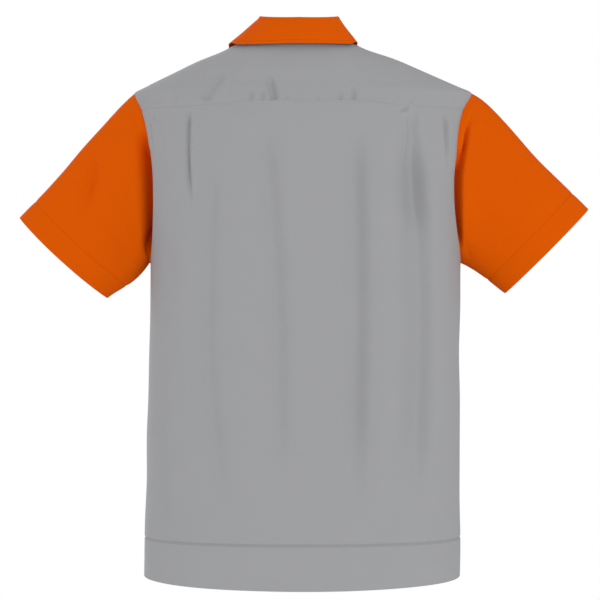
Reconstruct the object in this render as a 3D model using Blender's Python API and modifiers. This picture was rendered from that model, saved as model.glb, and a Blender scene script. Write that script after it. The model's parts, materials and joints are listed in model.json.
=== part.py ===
"""Short-sleeved polo shirt in two colours, filled out as if worn, with open neck, sleeves and hem.

+Z is up, the front faces -Y and the wearer's left is +X.  The origin is in the middle of the neck's
base, level with the shoulder points.  Every size is in metres, every angle in radians.

The cloth lies on one body surface.  A table of level sections gives its form and a table of folds
is pressed into it.  Each piece is a wall between an outer and an inner grid of points taken from that
surface, so the edges of two pieces that are sewn together stay parallel and SEAM_GAP apart.
"""
import math
from collections import namedtuple
from functools import lru_cache

import bmesh
import bpy
from mathutils import Vector

COLLECTION = "polo_shirt"

# Cloth
CLOTH = 0.0015                 # thickness of a wall
SEAM_GAP = 0.0003              # space between two pieces
QUARTER = math.pi / 2.0

# Body levels, counted from the shoulder points at the neck
NECK_POINT = 0.009             # height of the shoulder seam's inner end
NECK_BACK_DROP = 0.010         # from there down to the centre back
NECK_FRONT_DROP = 0.068        # from there down to the centre front
SHOULDER_TIP = -0.067          # top of the armhole
UNDERARM = -0.309              # bottom of the armhole
YOKE_CENTRE = -0.0874          # yoke seam at the centre back
YOKE_SIDE = -0.0936            # yoke seam at the armhole
YOKE_BEND = (0.18, 0.48)       # shares of a half panel between which the yoke seam drops
YOKE_BEND_POWER = 4            # how late, going up the back, the rows take the seam's bend
BAND_SEAM = -0.699
HEM_SIDE = -0.7545
HEM_BACK_DIP = 0.0076          # how much lower the hem hangs at the centre back
ARMHOLE_SPREAD = math.radians(25.0)   # the armhole's half width, seen from the body's axis

# Columns and rows of the panels
COLUMNS = 16                   # from the centre to the side
NECK_COLUMNS = 5               # of these, the ones that end at the neck
FRONT_NECK_STEPS = 8           # finer ones of the front's neckline
TUCK_COLUMNS = (6.5, 7.5, 8.5)  # half steps where the tucks lie
BACK_ROWS = 12                 # underarm to yoke seam
YOKE_ROWS = 5
FRONT_ROWS = 15                # underarm to shoulder
LOWER_ROWS = 8                 # band seam to underarm
FAN = 2.5                      # how fast the columns fan out below the neck and shoulder seams
BAND_ROWS = 2

# Small steps over which directions on the surfaces are measured
ANGLE_STEP = 0.004
HEIGHT_STEP = 0.0008
TURN_STEP = 0.02               # round an armhole
ALONG_STEP = 0.005             # down a sleeve, as a share of its length
NECK_STEP = 0.03               # round the neckline

# Level sections of the body.  Half width runs from the section's centre to a side; back, front and
# ridge are Y values of the centre back, the centre front and the line where the shoulder turns over.
Section = namedtuple("Section", "height half_width back front ridge squareness centre")
BODY = (
    Section(0.030, 0.0530, 0.066, -0.004, 0.031, 2.00, 0.011),
    Section(0.009, 0.0730, 0.073, -0.014, 0.030, 2.00, 0.012),
    Section(-0.006, 0.0990, 0.080, -0.024, 0.028, 2.00, 0.012),
    Section(-0.022, 0.1418, 0.089, -0.033, 0.021, 1.85, 0.0075),
    Section(-0.040, 0.1832, 0.099, -0.042, 0.014, 1.75, 0.004),
    Section(-0.058, 0.2236, 0.107, -0.051, 0.008, 1.70, 0.0015),
    Section(-0.067, 0.2410, 0.112, -0.056, 0.005, 1.70, 0.0015),
    Section(-0.091, 0.2415, 0.123, -0.069, 0.002, 1.80, 0.0020),
    Section(-0.130, 0.2350, 0.131, -0.087, 0.000, 2.10, 0.0018),
    Section(-0.188, 0.2298, 0.137, -0.108, 0.000, 2.35, 0.0015),
    Section(-0.250, 0.2253, 0.139, -0.120, 0.000, 2.40, 0.0000),
    Section(-0.309, 0.2218, 0.139, -0.126, 0.000, 2.40, -0.0018),
    Section(-0.430, 0.2216, 0.138, -0.129, 0.000, 2.40, -0.0012),
    Section(-0.577, 0.2230, 0.138, -0.130, 0.000, 2.40, 0.0012),
    Section(-0.700, 0.2252, 0.137, -0.132, 0.000, 2.40, 0.0025),
    Section(-0.780, 0.2256, 0.138, -0.134, 0.000, 2.40, 0.0027),
)

# Folds pressed into the body, on the back (+1) or the front (-1).  A fold runs from top to bottom
# through three X values; a positive depth is a trough, a negative one a ridge.
Fold = namedtuple("Fold", "side top bottom x_top x_middle x_bottom width depth")
FOLDS = (
    Fold(+1, -0.105, -0.690, 0.106, 0.131, 0.098, 0.032, 0.0050),
    Fold(+1, -0.100, -0.640, 0.041, 0.022, 0.030, 0.030, 0.0040),
    Fold(+1, -0.100, -0.690, -0.074, -0.086, -0.052, 0.032, 0.0045),
    Fold(+1, -0.093, -0.690, -0.154, -0.167, -0.157, 0.026, 0.0060),
    # the tucks that end in the yoke seam: a fold edge, and on the left a groove beside it
    Fold(+1, -0.091, -0.235, 0.155, 0.159, 0.152, 0.009, -0.0030),
    Fold(+1, -0.091, -0.235, 0.170, 0.174, 0.165, 0.009, 0.0030),
    Fold(+1, -0.091, -0.210, -0.139, -0.142, -0.137, 0.009, -0.0035),
    # similar soft ones on the front
    Fold(-1, -0.210, -0.690, 0.125, 0.139, 0.112, 0.032, 0.0045),
    Fold(-1, -0.260, -0.690, 0.055, 0.049, 0.058, 0.028, 0.0030),
    Fold(-1, -0.240, -0.690, -0.060, -0.072, -0.055, 0.030, 0.0035),
    Fold(-1, -0.190, -0.690, -0.138, -0.150, -0.130, 0.030, 0.0050),
)
FOLD_START = 0.15              # share of a fold's length over which it deepens
FOLD_END = 0.30                # share over which it fades

# Sleeves: where the cuff's top and bottom lie, how far its back bows out, how far the sleeve's head
# swells at the shoulder, and how far its underside hangs below a straight line
Sleeve = namedtuple("Sleeve", "name side top_x top_z bottom_x bottom_z bow head sag")
SLEEVES = (
    Sleeve("sleeve_left", +1, 0.4068, -0.2446, 0.2816, -0.3594, 0.0035, 0.0016, 0.040),
    Sleeve("sleeve_right", -1, 0.4072, -0.2322, 0.2880, -0.3524, 0.0000, 0.0050, -0.016),
)
CUFF_HALF_DEPTH = 0.039        # front to back
SLEEVE_SPRING = 0.060          # how far the cloth follows the body before it turns down the sleeve
SPRING_LOSS = 0.4              # share of the way to the cuff that it starts short by, where it springs
SWELL_SCALE = 6.0 ** 6 / 5.0 ** 5   # makes the swelling of a sleeve's head 1 at its highest
SLEEVE_STEPS = (0.0, 0.04, 0.09, 0.16, 0.25, 0.38, 0.52, 0.68, 0.84, 1.0)

# Collar, from the centre back (0 degrees) to its end beside the centre front.  Rise and inset place
# the fold over the neck seam; across, height and lift place the leaf's edge over the body; the leaf
# bows out between the two.
Collar = namedtuple("Collar", "around rise inset across height lift bow")
COLLAR = (
    Collar(0.0, 0.035, 0.009, 0.0000, -0.0092, 0.0090, 0.003),
    Collar(30.0, 0.034, 0.010, 0.0470, -0.0085, 0.0070, 0.003),
    Collar(60.0, 0.033, 0.015, 0.0790, -0.0065, 0.0045, 0.001),
    Collar(90.0, 0.031, 0.020, 0.0930, -0.0035, 0.0030, 0.000),
    Collar(120.0, 0.028, 0.013, 0.0880, -0.0320, 0.0035, 0.002),
    Collar(150.0, 0.026, 0.008, 0.0700, -0.0640, 0.0035, 0.003),
    Collar(177.0, 0.025, 0.004, 0.0420, -0.0940, 0.0040, 0.003),
)
COLLAR_FOLD_RADIUS = 0.0028    # of the wall's middle, where the leaf turns over
LEAF_STEPS = 4

# Placket and buttons on the front
PLACKET_HALF_WIDTH = 0.015
PLACKET_LENGTH = 0.150
PLACKET_THICKNESS = 0.0012
PLACKET_GAP = 0.0005           # over the front, enough for the front's flat facets
PLACKET_ROWS = 6
PLACKET_COLUMNS = 4
BUTTON_RADIUS = 0.0055
BUTTON_THICKNESS = 0.0024
BUTTON_RIM = 0.0009
BUTTON_WELL = 0.00352          # radius of the dished middle
BUTTON_SIDES = 20
BUTTON_DROPS = (0.022, 0.074, 0.126)   # below the neckline

SHARP_EDGE = math.radians(50.0)
GREY_CLOTH = (0.335, 0.337, 0.350, 1.0)
ORANGE_CLOTH = (0.680, 0.092, 0.0, 1.0)
GREY_BUTTON = (0.300, 0.300, 0.310, 1.0)


# ---------------------------------------------------------------------------------------------
# Curves through the rows of a table
# ---------------------------------------------------------------------------------------------
def curve_value(places, values, place):
    """Value at a place on a smooth curve through the given values; places ascend."""
    last = len(places) - 1
    place = min(max(place, places[0]), places[last])
    index = 0
    while index < last - 1 and place > places[index + 1]:
        index += 1
    slopes = []
    for row in (index, index + 1):
        before = max(row - 1, 0)
        after = min(row + 1, last)
        slopes.append((values[after] - values[before]) / (places[after] - places[before]))
    span = places[index + 1] - places[index]
    t = (place - places[index]) / span
    rise = t * t * (3.0 - 2.0 * t)
    leave = t * (1.0 - t) ** 2
    arrive = t * t * (t - 1.0)
    return (values[index] * (1.0 - rise) + values[index + 1] * rise
            + span * (slopes[0] * leave + slopes[1] * arrive))


def smooth_step(t):
    """0 up to t = 0, 1 from t = 1, and a soft rise between."""
    t = min(max(t, 0.0), 1.0)
    return t * t * (3.0 - 2.0 * t)


SECTIONS_UP = tuple(reversed(BODY))
SECTION_HEIGHTS = [section.height for section in SECTIONS_UP]
SECTION_COLUMNS = list(zip(*SECTIONS_UP))


@lru_cache(maxsize=None)
def section_at(height):
    """The body's level section at any height."""
    return Section(*(curve_value(SECTION_HEIGHTS, column, height) for column in SECTION_COLUMNS))


# ---------------------------------------------------------------------------------------------
# The body surface; its angle is 0 at the centre back, +90 degrees at the left side
# ---------------------------------------------------------------------------------------------
def body_point(angle, height):
    """Point of the body without folds."""
    form = section_at(height)
    power = form.squareness
    sine = math.sin(angle)
    cosine = math.cos(angle)
    reach = (abs(sine) ** power + abs(cosine) ** power) ** (-1.0 / power)
    depth = form.back - form.ridge if cosine > 0.0 else form.ridge - form.front
    return Vector((form.centre + form.half_width * reach * sine,
                   form.ridge + depth * reach * cosine,
                   height))


def surface_normal(surface, angle, height):
    """Outward normal of a surface that is a function of angle and height."""
    along = surface(angle + ANGLE_STEP, height) - surface(angle - ANGLE_STEP, height)
    up = surface(angle, height + HEIGHT_STEP) - surface(angle, height - HEIGHT_STEP)
    return up.cross(along).normalized()


def fold_depth(side, x, height):
    """How deep the folds press the cloth in at a place."""
    total = 0.0
    for fold in FOLDS:
        down = (fold.top - height) / (fold.top - fold.bottom)
        if fold.side != side or not 0.0 < down < 1.0:
            continue
        centre = curve_value((0.0, 0.5, 1.0), (fold.x_top, fold.x_middle, fold.x_bottom), down)
        strength = smooth_step(down / FOLD_START) * smooth_step((1.0 - down) / FOLD_END)
        total += fold.depth * strength * math.exp(-((x - centre) / fold.width) ** 2)
    return total


@lru_cache(maxsize=None)
def cloth_point(angle, height):
    """Point of the body with its folds."""
    plain = body_point(angle, height)
    depth = fold_depth(1 if math.cos(angle) > 0.0 else -1, plain.x, height)
    if depth == 0.0:
        return plain
    return plain - depth * surface_normal(body_point, angle, height)


@lru_cache(maxsize=None)
def cloth_normal(angle, height):
    return surface_normal(cloth_point, angle, height)


def angle_from_centre(across, height):
    """Angle, 0 to 90 degrees, at which a section is this far from its centre line."""
    form = section_at(height)
    share = min(max(across / form.half_width, 0.0), 1.0)
    rest = (1.0 - share ** form.squareness) ** (1.0 / form.squareness)
    return math.atan2(share, rest)


def body_angle(side, left, from_centre):
    """Angle on the whole body, from the angle off the centre back (+1) or centre front (-1)."""
    return left * from_centre if side > 0 else left * (math.pi - from_centre)


# ---------------------------------------------------------------------------------------------
# Lines on the body
# ---------------------------------------------------------------------------------------------
def armhole_place(turn):
    """Angle off the centre and height on an armhole; turn 0 is its top, 180 degrees its bottom."""
    middle = (SHOULDER_TIP + UNDERARM) / 2.0
    reach = (SHOULDER_TIP - UNDERARM) / 2.0
    return QUARTER - ARMHOLE_SPREAD * abs(math.sin(turn)), middle + reach * math.cos(turn)


def armhole_turns(start, end, rows):
    return [start + (end - start) * row / rows for row in range(rows + 1)]


YOKE_TURN = math.acos((2.0 * YOKE_SIDE - SHOULDER_TIP - UNDERARM) / (SHOULDER_TIP - UNDERARM))
BACK_TURNS = armhole_turns(math.pi, YOKE_TURN, BACK_ROWS)
YOKE_TURNS = armhole_turns(YOKE_TURN, 0.0, YOKE_ROWS)
FRONT_TURNS = armhole_turns(math.pi, 0.0, FRONT_ROWS)
NECK_SHARE = NECK_COLUMNS / COLUMNS


def across_at(from_centre, height):
    form = section_at(height)
    return body_point(from_centre, height).x - form.centre


def squeezed(share, edge_angle):
    """Angle of a column whose row ends at the edge angle; the inner columns hardly move."""
    return share * QUARTER - (QUARTER - edge_angle) * share ** 2


def ridge_height(across):
    """Height at which the shoulder's ridge is this far from its centre line."""
    low = SHOULDER_TIP
    high = BODY[0].height
    for _ in range(30):
        middle = 0.5 * (low + high)
        if section_at(middle).half_width > across:
            low = middle
        else:
            high = middle
    return low


def neckline_place(around, side):
    """Across and height on the neckline; around runs from 0 at the centre to 90 degrees."""
    drop = NECK_BACK_DROP if side > 0 else NECK_FRONT_DROP
    return (section_at(NECK_POINT).half_width * math.sin(around),
            NECK_POINT - drop * math.cos(around))


def top_place(share, side):
    """Across and height on a panel's top edge: neckline, then shoulder seam."""
    if share <= NECK_SHARE:
        return neckline_place(QUARTER * share / NECK_SHARE, side)
    along = (share - NECK_SHARE) / (1.0 - NECK_SHARE)
    height = NECK_POINT + (SHOULDER_TIP - NECK_POINT) * along
    return section_at(height).half_width, height


def shares(neck_steps, extra):
    """Columns of a half panel: shares of the way from its centre to its side."""
    neck = [NECK_SHARE * step / neck_steps for step in range(neck_steps + 1)]
    rest = [step / COLUMNS for step in range(NECK_COLUMNS + 1, COLUMNS + 1)]
    return sorted(neck + rest + list(extra))


COLLAR_END = math.pi - math.radians(COLLAR[-1].around)
BACK_SHARES = shares(NECK_COLUMNS, [column / COLUMNS for column in TUCK_COLUMNS])
FRONT_SHARES = shares(FRONT_NECK_STEPS, [NECK_SHARE * COLLAR_END / QUARTER])


# ---------------------------------------------------------------------------------------------
# Panels: rows of (angle off the centre, height) for a half, mirrored to the whole width
# ---------------------------------------------------------------------------------------------
def level_rows(columns, heights):
    """Rows that run level from side seam to side seam."""
    return [[(share * QUARTER, height) for share in columns] for height in heights]


def back_rows(columns):
    """Rows from the underarm to the yoke seam; their ends follow the armhole."""
    rows = []
    start, end = YOKE_BEND
    for index, turn in enumerate(BACK_TURNS):
        edge_angle, edge_height = armhole_place(turn)
        up = index / BACK_ROWS
        centre = UNDERARM + (YOKE_CENTRE - UNDERARM) * up
        row = []
        for share in columns:
            drop = smooth_step((share - start) / (end - start))
            drop = share ** 3 + (drop - share ** 3) * up ** YOKE_BEND_POWER
            row.append((squeezed(share, edge_angle), centre + (edge_height - centre) * drop))
        rows.append(row)
    return rows


def top_rows(columns, side, turns, low_row):
    """Rows from a given low row up to the shoulder seam and the neckline."""
    last = len(turns) - 1
    fall = math.cos(turns[last]) - math.cos(turns[0])
    rows = [low_row]
    for index in range(1, last + 1):
        edge_angle, edge_height = armhole_place(turns[index])
        edge_across = across_at(edge_angle, edge_height)
        eased = (math.cos(turns[last]) - math.cos(turns[index])) / fall
        plain = 1.0 - index / last
        row = []
        for share, (_, low_height) in zip(columns, low_row):
            weight = min(share / NECK_SHARE, 1.0) ** 2
            down = plain + (eased - plain) * weight
            top_across, top_height = top_place(share, side)
            low_spread = across_at(squeezed(share, edge_angle), edge_height) / edge_across
            top_spread = top_across / section_at(SHOULDER_TIP).half_width
            rise = (1.0 - plain) ** FAN
            across = edge_across * (low_spread + (top_spread - low_spread) * rise)
            below_ridge = ridge_height(top_across) - top_height
            height = ridge_height(across) - below_ridge
            height += (low_height - height) * down
            row.append((angle_from_centre(across, height), height))
        row[-1] = (edge_angle, edge_height)
        rows.append(row)
    return rows


def shift_row(row, lift):
    return [(angle, height + lift) for angle, height in row]


def whole_row(row, side):
    """A half row mirrored to the whole width, its ends kept half a seam gap off the side line."""
    places = []
    for left in (-1, 1):
        half = []
        for from_centre, height in row:
            form = section_at(height)
            depth = form.back - form.ridge if side > 0 else form.ridge - form.front
            limit = QUARTER - 0.5 * SEAM_GAP / depth
            half.append((body_angle(side, left, min(from_centre, limit)), height))
        places += half[:0:-1] if left < 0 else half
    return places


def seam_rows(rows, side, bottom_gap, top_gap):
    """Whole rows of a panel, drawn in by half a seam gap at its bottom and top where asked."""
    rows = list(rows)
    if bottom_gap:
        rows[0] = shift_row(rows[0], 0.5 * SEAM_GAP)
    if top_gap:
        rows[-1] = shift_row(rows[-1], -0.5 * SEAM_GAP)
    return [whole_row(row, side) for row in rows]


def cloth_grids(rows):
    """Outer and inner points of a wall over the given places."""
    outer = [[cloth_point(*place) for place in row] for row in rows]
    inner = [[cloth_point(*place) - CLOTH * cloth_normal(*place) for place in row] for row in rows]
    return outer, inner


# ---------------------------------------------------------------------------------------------
# Meshes and materials
# ---------------------------------------------------------------------------------------------
def cloth_material(name, colour, roughness):
    material = bpy.data.materials.new(name)
    material.use_nodes = True
    shader = material.node_tree.nodes["Principled BSDF"]
    shader.inputs["Base Color"].default_value = colour
    shader.inputs["Roughness"].default_value = roughness
    shader.inputs["Metallic"].default_value = 0.0
    material.diffuse_color = colour
    return material


def add_wall(collection, name, grids, ring, colour):
    """Closed wall between an outer and an inner grid; a ring's rows are joined end to end."""
    outer, inner = grids
    facing = (outer[0][1] - outer[0][0]).cross(outer[1][0] - outer[0][0])
    if facing.dot(outer[0][0] - inner[0][0]) < 0.0:
        outer = [list(reversed(row)) for row in outer]
        inner = [list(reversed(row)) for row in inner]
    shape = bmesh.new()
    outside = [[shape.verts.new(point) for point in row] for row in outer]
    inside = [[shape.verts.new(point) for point in row] for row in inner]
    last_row = len(outer) - 1
    width = len(outer[0])
    spans = [(column, (column + 1) % width) for column in range(width if ring else width - 1)]
    for row in range(last_row):
        for here, there in spans:
            shape.faces.new((outside[row][here], outside[row][there],
                             outside[row + 1][there], outside[row + 1][here]))
            shape.faces.new((inside[row][here], inside[row + 1][here],
                             inside[row + 1][there], inside[row][there]))
    for here, there in spans:
        shape.faces.new((outside[0][there], outside[0][here], inside[0][here], inside[0][there]))
        shape.faces.new((outside[last_row][here], outside[last_row][there],
                         inside[last_row][there], inside[last_row][here]))
    if not ring:
        for row in range(last_row):
            shape.faces.new((outside[row][0], outside[row + 1][0],
                             inside[row + 1][0], inside[row][0]))
            shape.faces.new((outside[row + 1][-1], outside[row][-1],
                             inside[row][-1], inside[row + 1][-1]))
    mesh = bpy.data.meshes.new(name)
    shape.to_mesh(mesh)
    shape.free()
    mesh.shade_smooth()
    mesh.set_sharp_from_angle(angle=SHARP_EDGE)
    piece = bpy.data.objects.new(name, mesh)
    mesh.materials.append(cloth_material(name + "_cloth", colour, 0.9))
    collection.objects.link(piece)
    return piece


# ---------------------------------------------------------------------------------------------
# The body's pieces
# ---------------------------------------------------------------------------------------------
def lower_rows(columns):
    """Level rows from the band seam up to just below the underarm."""
    step = (UNDERARM - BAND_SEAM) / LOWER_ROWS
    return level_rows(columns, [BAND_SEAM + step * row for row in range(LOWER_ROWS)])


def band_rows(columns, side):
    """Rows from the hem up to the band seam; the back's hem dips at its centre."""
    rows = []
    for step in range(BAND_ROWS + 1):
        row = []
        for share in columns:
            dip = HEM_BACK_DIP * math.cos(share * QUARTER) ** 2 if side > 0 else 0.0
            hem = HEM_SIDE - dip
            row.append((share * QUARTER, hem + (BAND_SEAM - hem) * step / BAND_ROWS))
        rows.append(row)
    return rows


def make_back(collection):
    rows = lower_rows(BACK_SHARES) + back_rows(BACK_SHARES)
    grids = cloth_grids(seam_rows(rows, 1, True, True))
    add_wall(collection, "back", grids, False, GREY_CLOTH)


def make_yoke(collection):
    rows = top_rows(BACK_SHARES, 1, YOKE_TURNS, back_rows(BACK_SHARES)[-1])
    grids = cloth_grids(seam_rows(rows, 1, True, False))
    add_wall(collection, "yoke", grids, False, GREY_CLOTH)


def make_front(collection):
    underarm_row = level_rows(FRONT_SHARES, [UNDERARM])[0]
    rows = lower_rows(FRONT_SHARES) + top_rows(FRONT_SHARES, -1, FRONT_TURNS, underarm_row)
    grids = cloth_grids(seam_rows(rows, -1, True, False))
    add_wall(collection, "front", grids, False, GREY_CLOTH)


def make_band(collection, name, side, columns):
    grids = cloth_grids(seam_rows(band_rows(columns, side), side, False, True))
    add_wall(collection, name, grids, False, GREY_CLOTH)


# ---------------------------------------------------------------------------------------------
# Sleeves
# ---------------------------------------------------------------------------------------------
def armhole_edge(side, turn):
    """Point and way into the hole at one turn of a whole armhole loop."""
    def place(at):
        from_centre, height = armhole_place(at)
        back = math.sin(at) >= 0.0
        return body_angle(1 if back else -1, side, from_centre), height

    here = cloth_point(*place(turn))
    tangent = cloth_point(*place(turn + TURN_STEP)) - cloth_point(*place(turn - TURN_STEP))
    inward = cloth_normal(*place(turn)).cross(tangent).normalized()
    middle = body_point(side * QUARTER, 0.5 * (SHOULDER_TIP + UNDERARM))
    if inward.dot(middle - here) < 0.0:
        inward = -inward
    return here, inward


def sleeve_point(sleeve, turn, along):
    """Outer point of a sleeve, from its armhole (along 0) to its cuff (along 1)."""
    seam, inward = armhole_edge(sleeve.side, turn)
    start = seam + SEAM_GAP * inward
    top = Vector((sleeve.side * sleeve.top_x, 0.0, sleeve.top_z))
    bottom = Vector((sleeve.side * sleeve.bottom_x, 0.0, sleeve.bottom_z))
    end = ((top + bottom) / 2.0 + (top - bottom) / 2.0 * math.cos(turn)
           + Vector((0.0, CUFF_HALF_DEPTH * math.sin(turn), 0.0)))
    outward = (bottom - top).cross(Vector((0.0, 1.0, 0.0))).normalized() * sleeve.side
    end += outward * sleeve.bow * math.sin(turn) ** 2
    reach = end - start
    spring = math.sin(turn) ** 2
    leave = reach * (1.0 - SPRING_LOSS * spring) + inward * SLEEVE_SPRING * spring
    leave.z -= sleeve.sag * max(-math.cos(turn), 0.0) ** 2
    rise = along * along * (3.0 - 2.0 * along)
    point = (start * (1.0 - rise) + end * rise
             + leave * along * (1.0 - along) ** 2
             + reach * along * along * (along - 1.0))
    swell = sleeve.head * SWELL_SCALE * along * (1.0 - along) ** 5 * max(math.cos(turn), 0.0) ** 2
    return point + (top - bottom).normalized() * swell


def sleeve_normal(sleeve, turn, along):
    """Outward normal of a sleeve."""
    around = (sleeve_point(sleeve, turn + TURN_STEP, along)
              - sleeve_point(sleeve, turn - TURN_STEP, along))
    near = min(max(along, ALONG_STEP), 1.0 - ALONG_STEP)
    down = (sleeve_point(sleeve, turn, near + ALONG_STEP)
            - sleeve_point(sleeve, turn, near - ALONG_STEP))
    return sleeve.side * down.cross(around).normalized()


def make_sleeve(collection, sleeve):
    turns = list(reversed(BACK_TURNS)) + [2.0 * math.pi - turn for turn in FRONT_TURNS[1:-1]]
    turns = list(reversed(YOKE_TURNS))[:-1] + turns
    outer = []
    inner = []
    for along in SLEEVE_STEPS:
        ring = [sleeve_point(sleeve, turn, along) for turn in turns]
        outer.append(ring)
        inner.append([point - CLOTH * sleeve_normal(sleeve, turn, along)
                      for point, turn in zip(ring, turns)])
    add_wall(collection, sleeve.name, (outer, inner), True, ORANGE_CLOTH)


# ---------------------------------------------------------------------------------------------
# Collar
# ---------------------------------------------------------------------------------------------
def neck_edge(around):
    """Point, outward normal and way up into the neck hole, at an angle round the whole neckline."""
    def place(at):
        side = 1 if math.cos(at) > 0.0 else -1
        left = 1 if math.sin(at) >= 0.0 else -1
        at = math.asin(min(abs(math.sin(at)), 1.0))
        across, height = neckline_place(at, side)
        return body_angle(side, left, angle_from_centre(across, height)), height

    here = cloth_point(*place(around))
    normal = cloth_normal(*place(around))
    tangent = cloth_point(*place(around + NECK_STEP)) - cloth_point(*place(around - NECK_STEP))
    inward = normal.cross(tangent).normalized()
    if inward.z < 0.0:
        inward = -inward
    return here, normal, inward


def collar_sizes(around):
    degrees = abs(math.degrees(around))
    columns = list(zip(*COLLAR))
    return Collar(*(curve_value(columns[0], column, degrees) for column in columns))


def collar_section(around):
    """Middle line of the collar's wall at an angle round the neck: stand, fold and leaf."""
    sizes = collar_sizes(around)
    left = 1 if around >= 0.0 else -1
    seam, normal, inward = neck_edge(around)
    start = seam + SEAM_GAP * inward - 0.5 * CLOTH * normal
    axis = body_point(0.0, 0.0) + body_point(math.pi, NECK_POINT - NECK_FRONT_DROP)
    towards = Vector((axis.x / 2.0 - seam.x, axis.y / 2.0 - seam.y, 0.0)).normalized()
    fold = seam + towards * sizes.inset + Vector((0.0, 0.0, sizes.rise))

    side = 1 if abs(around) <= QUARTER else -1
    angle = angle_from_centre(sizes.across, sizes.height)
    place = (body_angle(side, left, angle), sizes.height)
    edge = cloth_point(*place) + (sizes.lift + 0.5 * CLOTH) * cloth_normal(*place)

    radius = COLLAR_FOLD_RADIUS
    stand_top = fold + radius * (towards + Vector((0.0, 0.0, -1.0)))
    leaf_top = fold + radius * (-towards + Vector((0.0, 0.0, -1.0)))
    slope = math.sqrt(0.5)
    line = [start, start.lerp(stand_top, 0.5), stand_top]
    for way in (1.0, -1.0):
        line.append(fold + radius * (slope * way * towards + Vector((0.0, 0.0, slope - 1.0))))
    line.append(leaf_top)
    way = (edge - leaf_top).normalized()
    bow = Vector((0.0, 0.0, 1.0)) - towards
    bow = (bow - way * bow.dot(way)).normalized()
    for step in range(1, LEAF_STEPS + 1):
        share = step / LEAF_STEPS
        line.append(leaf_top.lerp(edge, share) + bow * sizes.bow * 4.0 * share * (1.0 - share))
    return line


def collar_arounds():
    """Angles round the neck of the collar's sections, at the same places as the panels' columns."""
    back = [QUARTER * step / NECK_COLUMNS for step in range(NECK_COLUMNS + 1)]
    front = [math.pi - QUARTER * step / FRONT_NECK_STEPS for step in range(FRONT_NECK_STEPS - 1, 0, -1)]
    half = back + front + [math.pi - COLLAR_END]
    return [-around for around in reversed(half[1:])] + half


def make_collar(collection):
    arounds = collar_arounds()
    lines = [collar_section(around) for around in arounds]
    last = len(lines) - 1
    outer = []
    inner = []
    for index, line in enumerate(lines):
        before = lines[max(index - 1, 0)]
        after = lines[min(index + 1, last)]
        seam_normal = neck_edge(arounds[index])[1]
        cover = []
        lining = []
        for step, point in enumerate(line):
            along = line[min(step + 1, len(line) - 1)] - line[max(step - 1, 0)]
            normal = (after[step] - before[step]).cross(along).normalized()
            if step == 0:
                normal = -seam_normal
            cover.append(point + 0.5 * CLOTH * normal)
            lining.append(point - 0.5 * CLOTH * normal)
        outer.append(cover)
        inner.append(lining)
    add_wall(collection, "collar", (outer, inner), False, ORANGE_CLOTH)


# ---------------------------------------------------------------------------------------------
# Placket and buttons
# ---------------------------------------------------------------------------------------------
def front_place(x, drop):
    """Angle and height on the front, this far from the middle and below the neckline."""
    height = NECK_POINT - NECK_FRONT_DROP - drop
    across = x - section_at(height).centre
    left = 1 if across >= 0.0 else -1
    return body_angle(-1, left, angle_from_centre(abs(across), height)), height


def placket_middle():
    return section_at(NECK_POINT - NECK_FRONT_DROP).centre


def make_placket(collection):
    outer = []
    inner = []
    for row in range(PLACKET_ROWS + 1):
        upper = []
        under = []
        for column in range(PLACKET_COLUMNS + 1):
            x = PLACKET_HALF_WIDTH * (2.0 * column / PLACKET_COLUMNS - 1.0)
            # the neckline is an arc, so the placket's top follows its rise
            neck = 4.0 * SEAM_GAP - 0.5 * x * x / section_at(NECK_POINT).half_width
            drop = neck + (PLACKET_LENGTH - neck) * (1.0 - row / PLACKET_ROWS)
            place = front_place(placket_middle() + x, drop)
            under.append(cloth_point(*place) + PLACKET_GAP * cloth_normal(*place))
            upper.append(under[-1] + PLACKET_THICKNESS * cloth_normal(*place))
        outer.append(upper)
        inner.append(under)
    add_wall(collection, "placket", (outer, inner), False, GREY_CLOTH)


def make_button(collection, number, drop):
    """A dished button: its profile is turned round its own axis, then set on the placket."""
    mesh = bpy.data.meshes.new("button_profile")
    half = 0.5 * BUTTON_THICKNESS
    profile = [
        (0.0, half - BUTTON_RIM * 0.5),
        (BUTTON_WELL, half - BUTTON_RIM * 0.5),
        (BUTTON_RADIUS - BUTTON_RIM, half),
        (BUTTON_RADIUS, half - BUTTON_RIM),
        (BUTTON_RADIUS, -half + BUTTON_RIM),
        (BUTTON_RADIUS - BUTTON_RIM, -half),
        (0.0, -half),
    ]
    points = [(radius, 0.0, height) for radius, height in profile]
    edges = [(index, index + 1) for index in range(len(points) - 1)]
    mesh.from_pydata(points, edges, [])
    button = bpy.data.objects.new("button_{}".format(number), mesh)
    mesh.materials.append(cloth_material(button.name + "_plastic", GREY_BUTTON, 0.35))
    turning = button.modifiers.new("turn", "SCREW")
    turning.steps = BUTTON_SIDES
    turning.render_steps = BUTTON_SIDES
    turning.use_merge_vertices = True
    turning.merge_threshold = 0.00001
    place = front_place(placket_middle(), drop)
    normal = cloth_normal(*place)
    height = PLACKET_GAP + PLACKET_THICKNESS + 1.5 * SEAM_GAP + half
    button.location = cloth_point(*place) + height * normal
    button.rotation_mode = "QUATERNION"
    button.rotation_quaternion = normal.to_track_quat("Z", "Y")
    collection.objects.link(button)


# ---------------------------------------------------------------------------------------------
# The whole shirt
# ---------------------------------------------------------------------------------------------
def main():
    for item in list(bpy.data.objects):
        bpy.data.objects.remove(item, do_unlink=True)
    collection = bpy.data.collections.new(COLLECTION)
    bpy.context.scene.collection.children.link(collection)
    make_back(collection)
    make_yoke(collection)
    make_front(collection)
    make_band(collection, "hem_band_back", 1, BACK_SHARES)
    make_band(collection, "hem_band_front", -1, FRONT_SHARES)
    for sleeve in SLEEVES:
        make_sleeve(collection, sleeve)
    make_collar(collection)
    make_placket(collection)
    for number, drop in enumerate(BUTTON_DROPS, start=1):
        make_button(collection, number, drop)


main()
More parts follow.
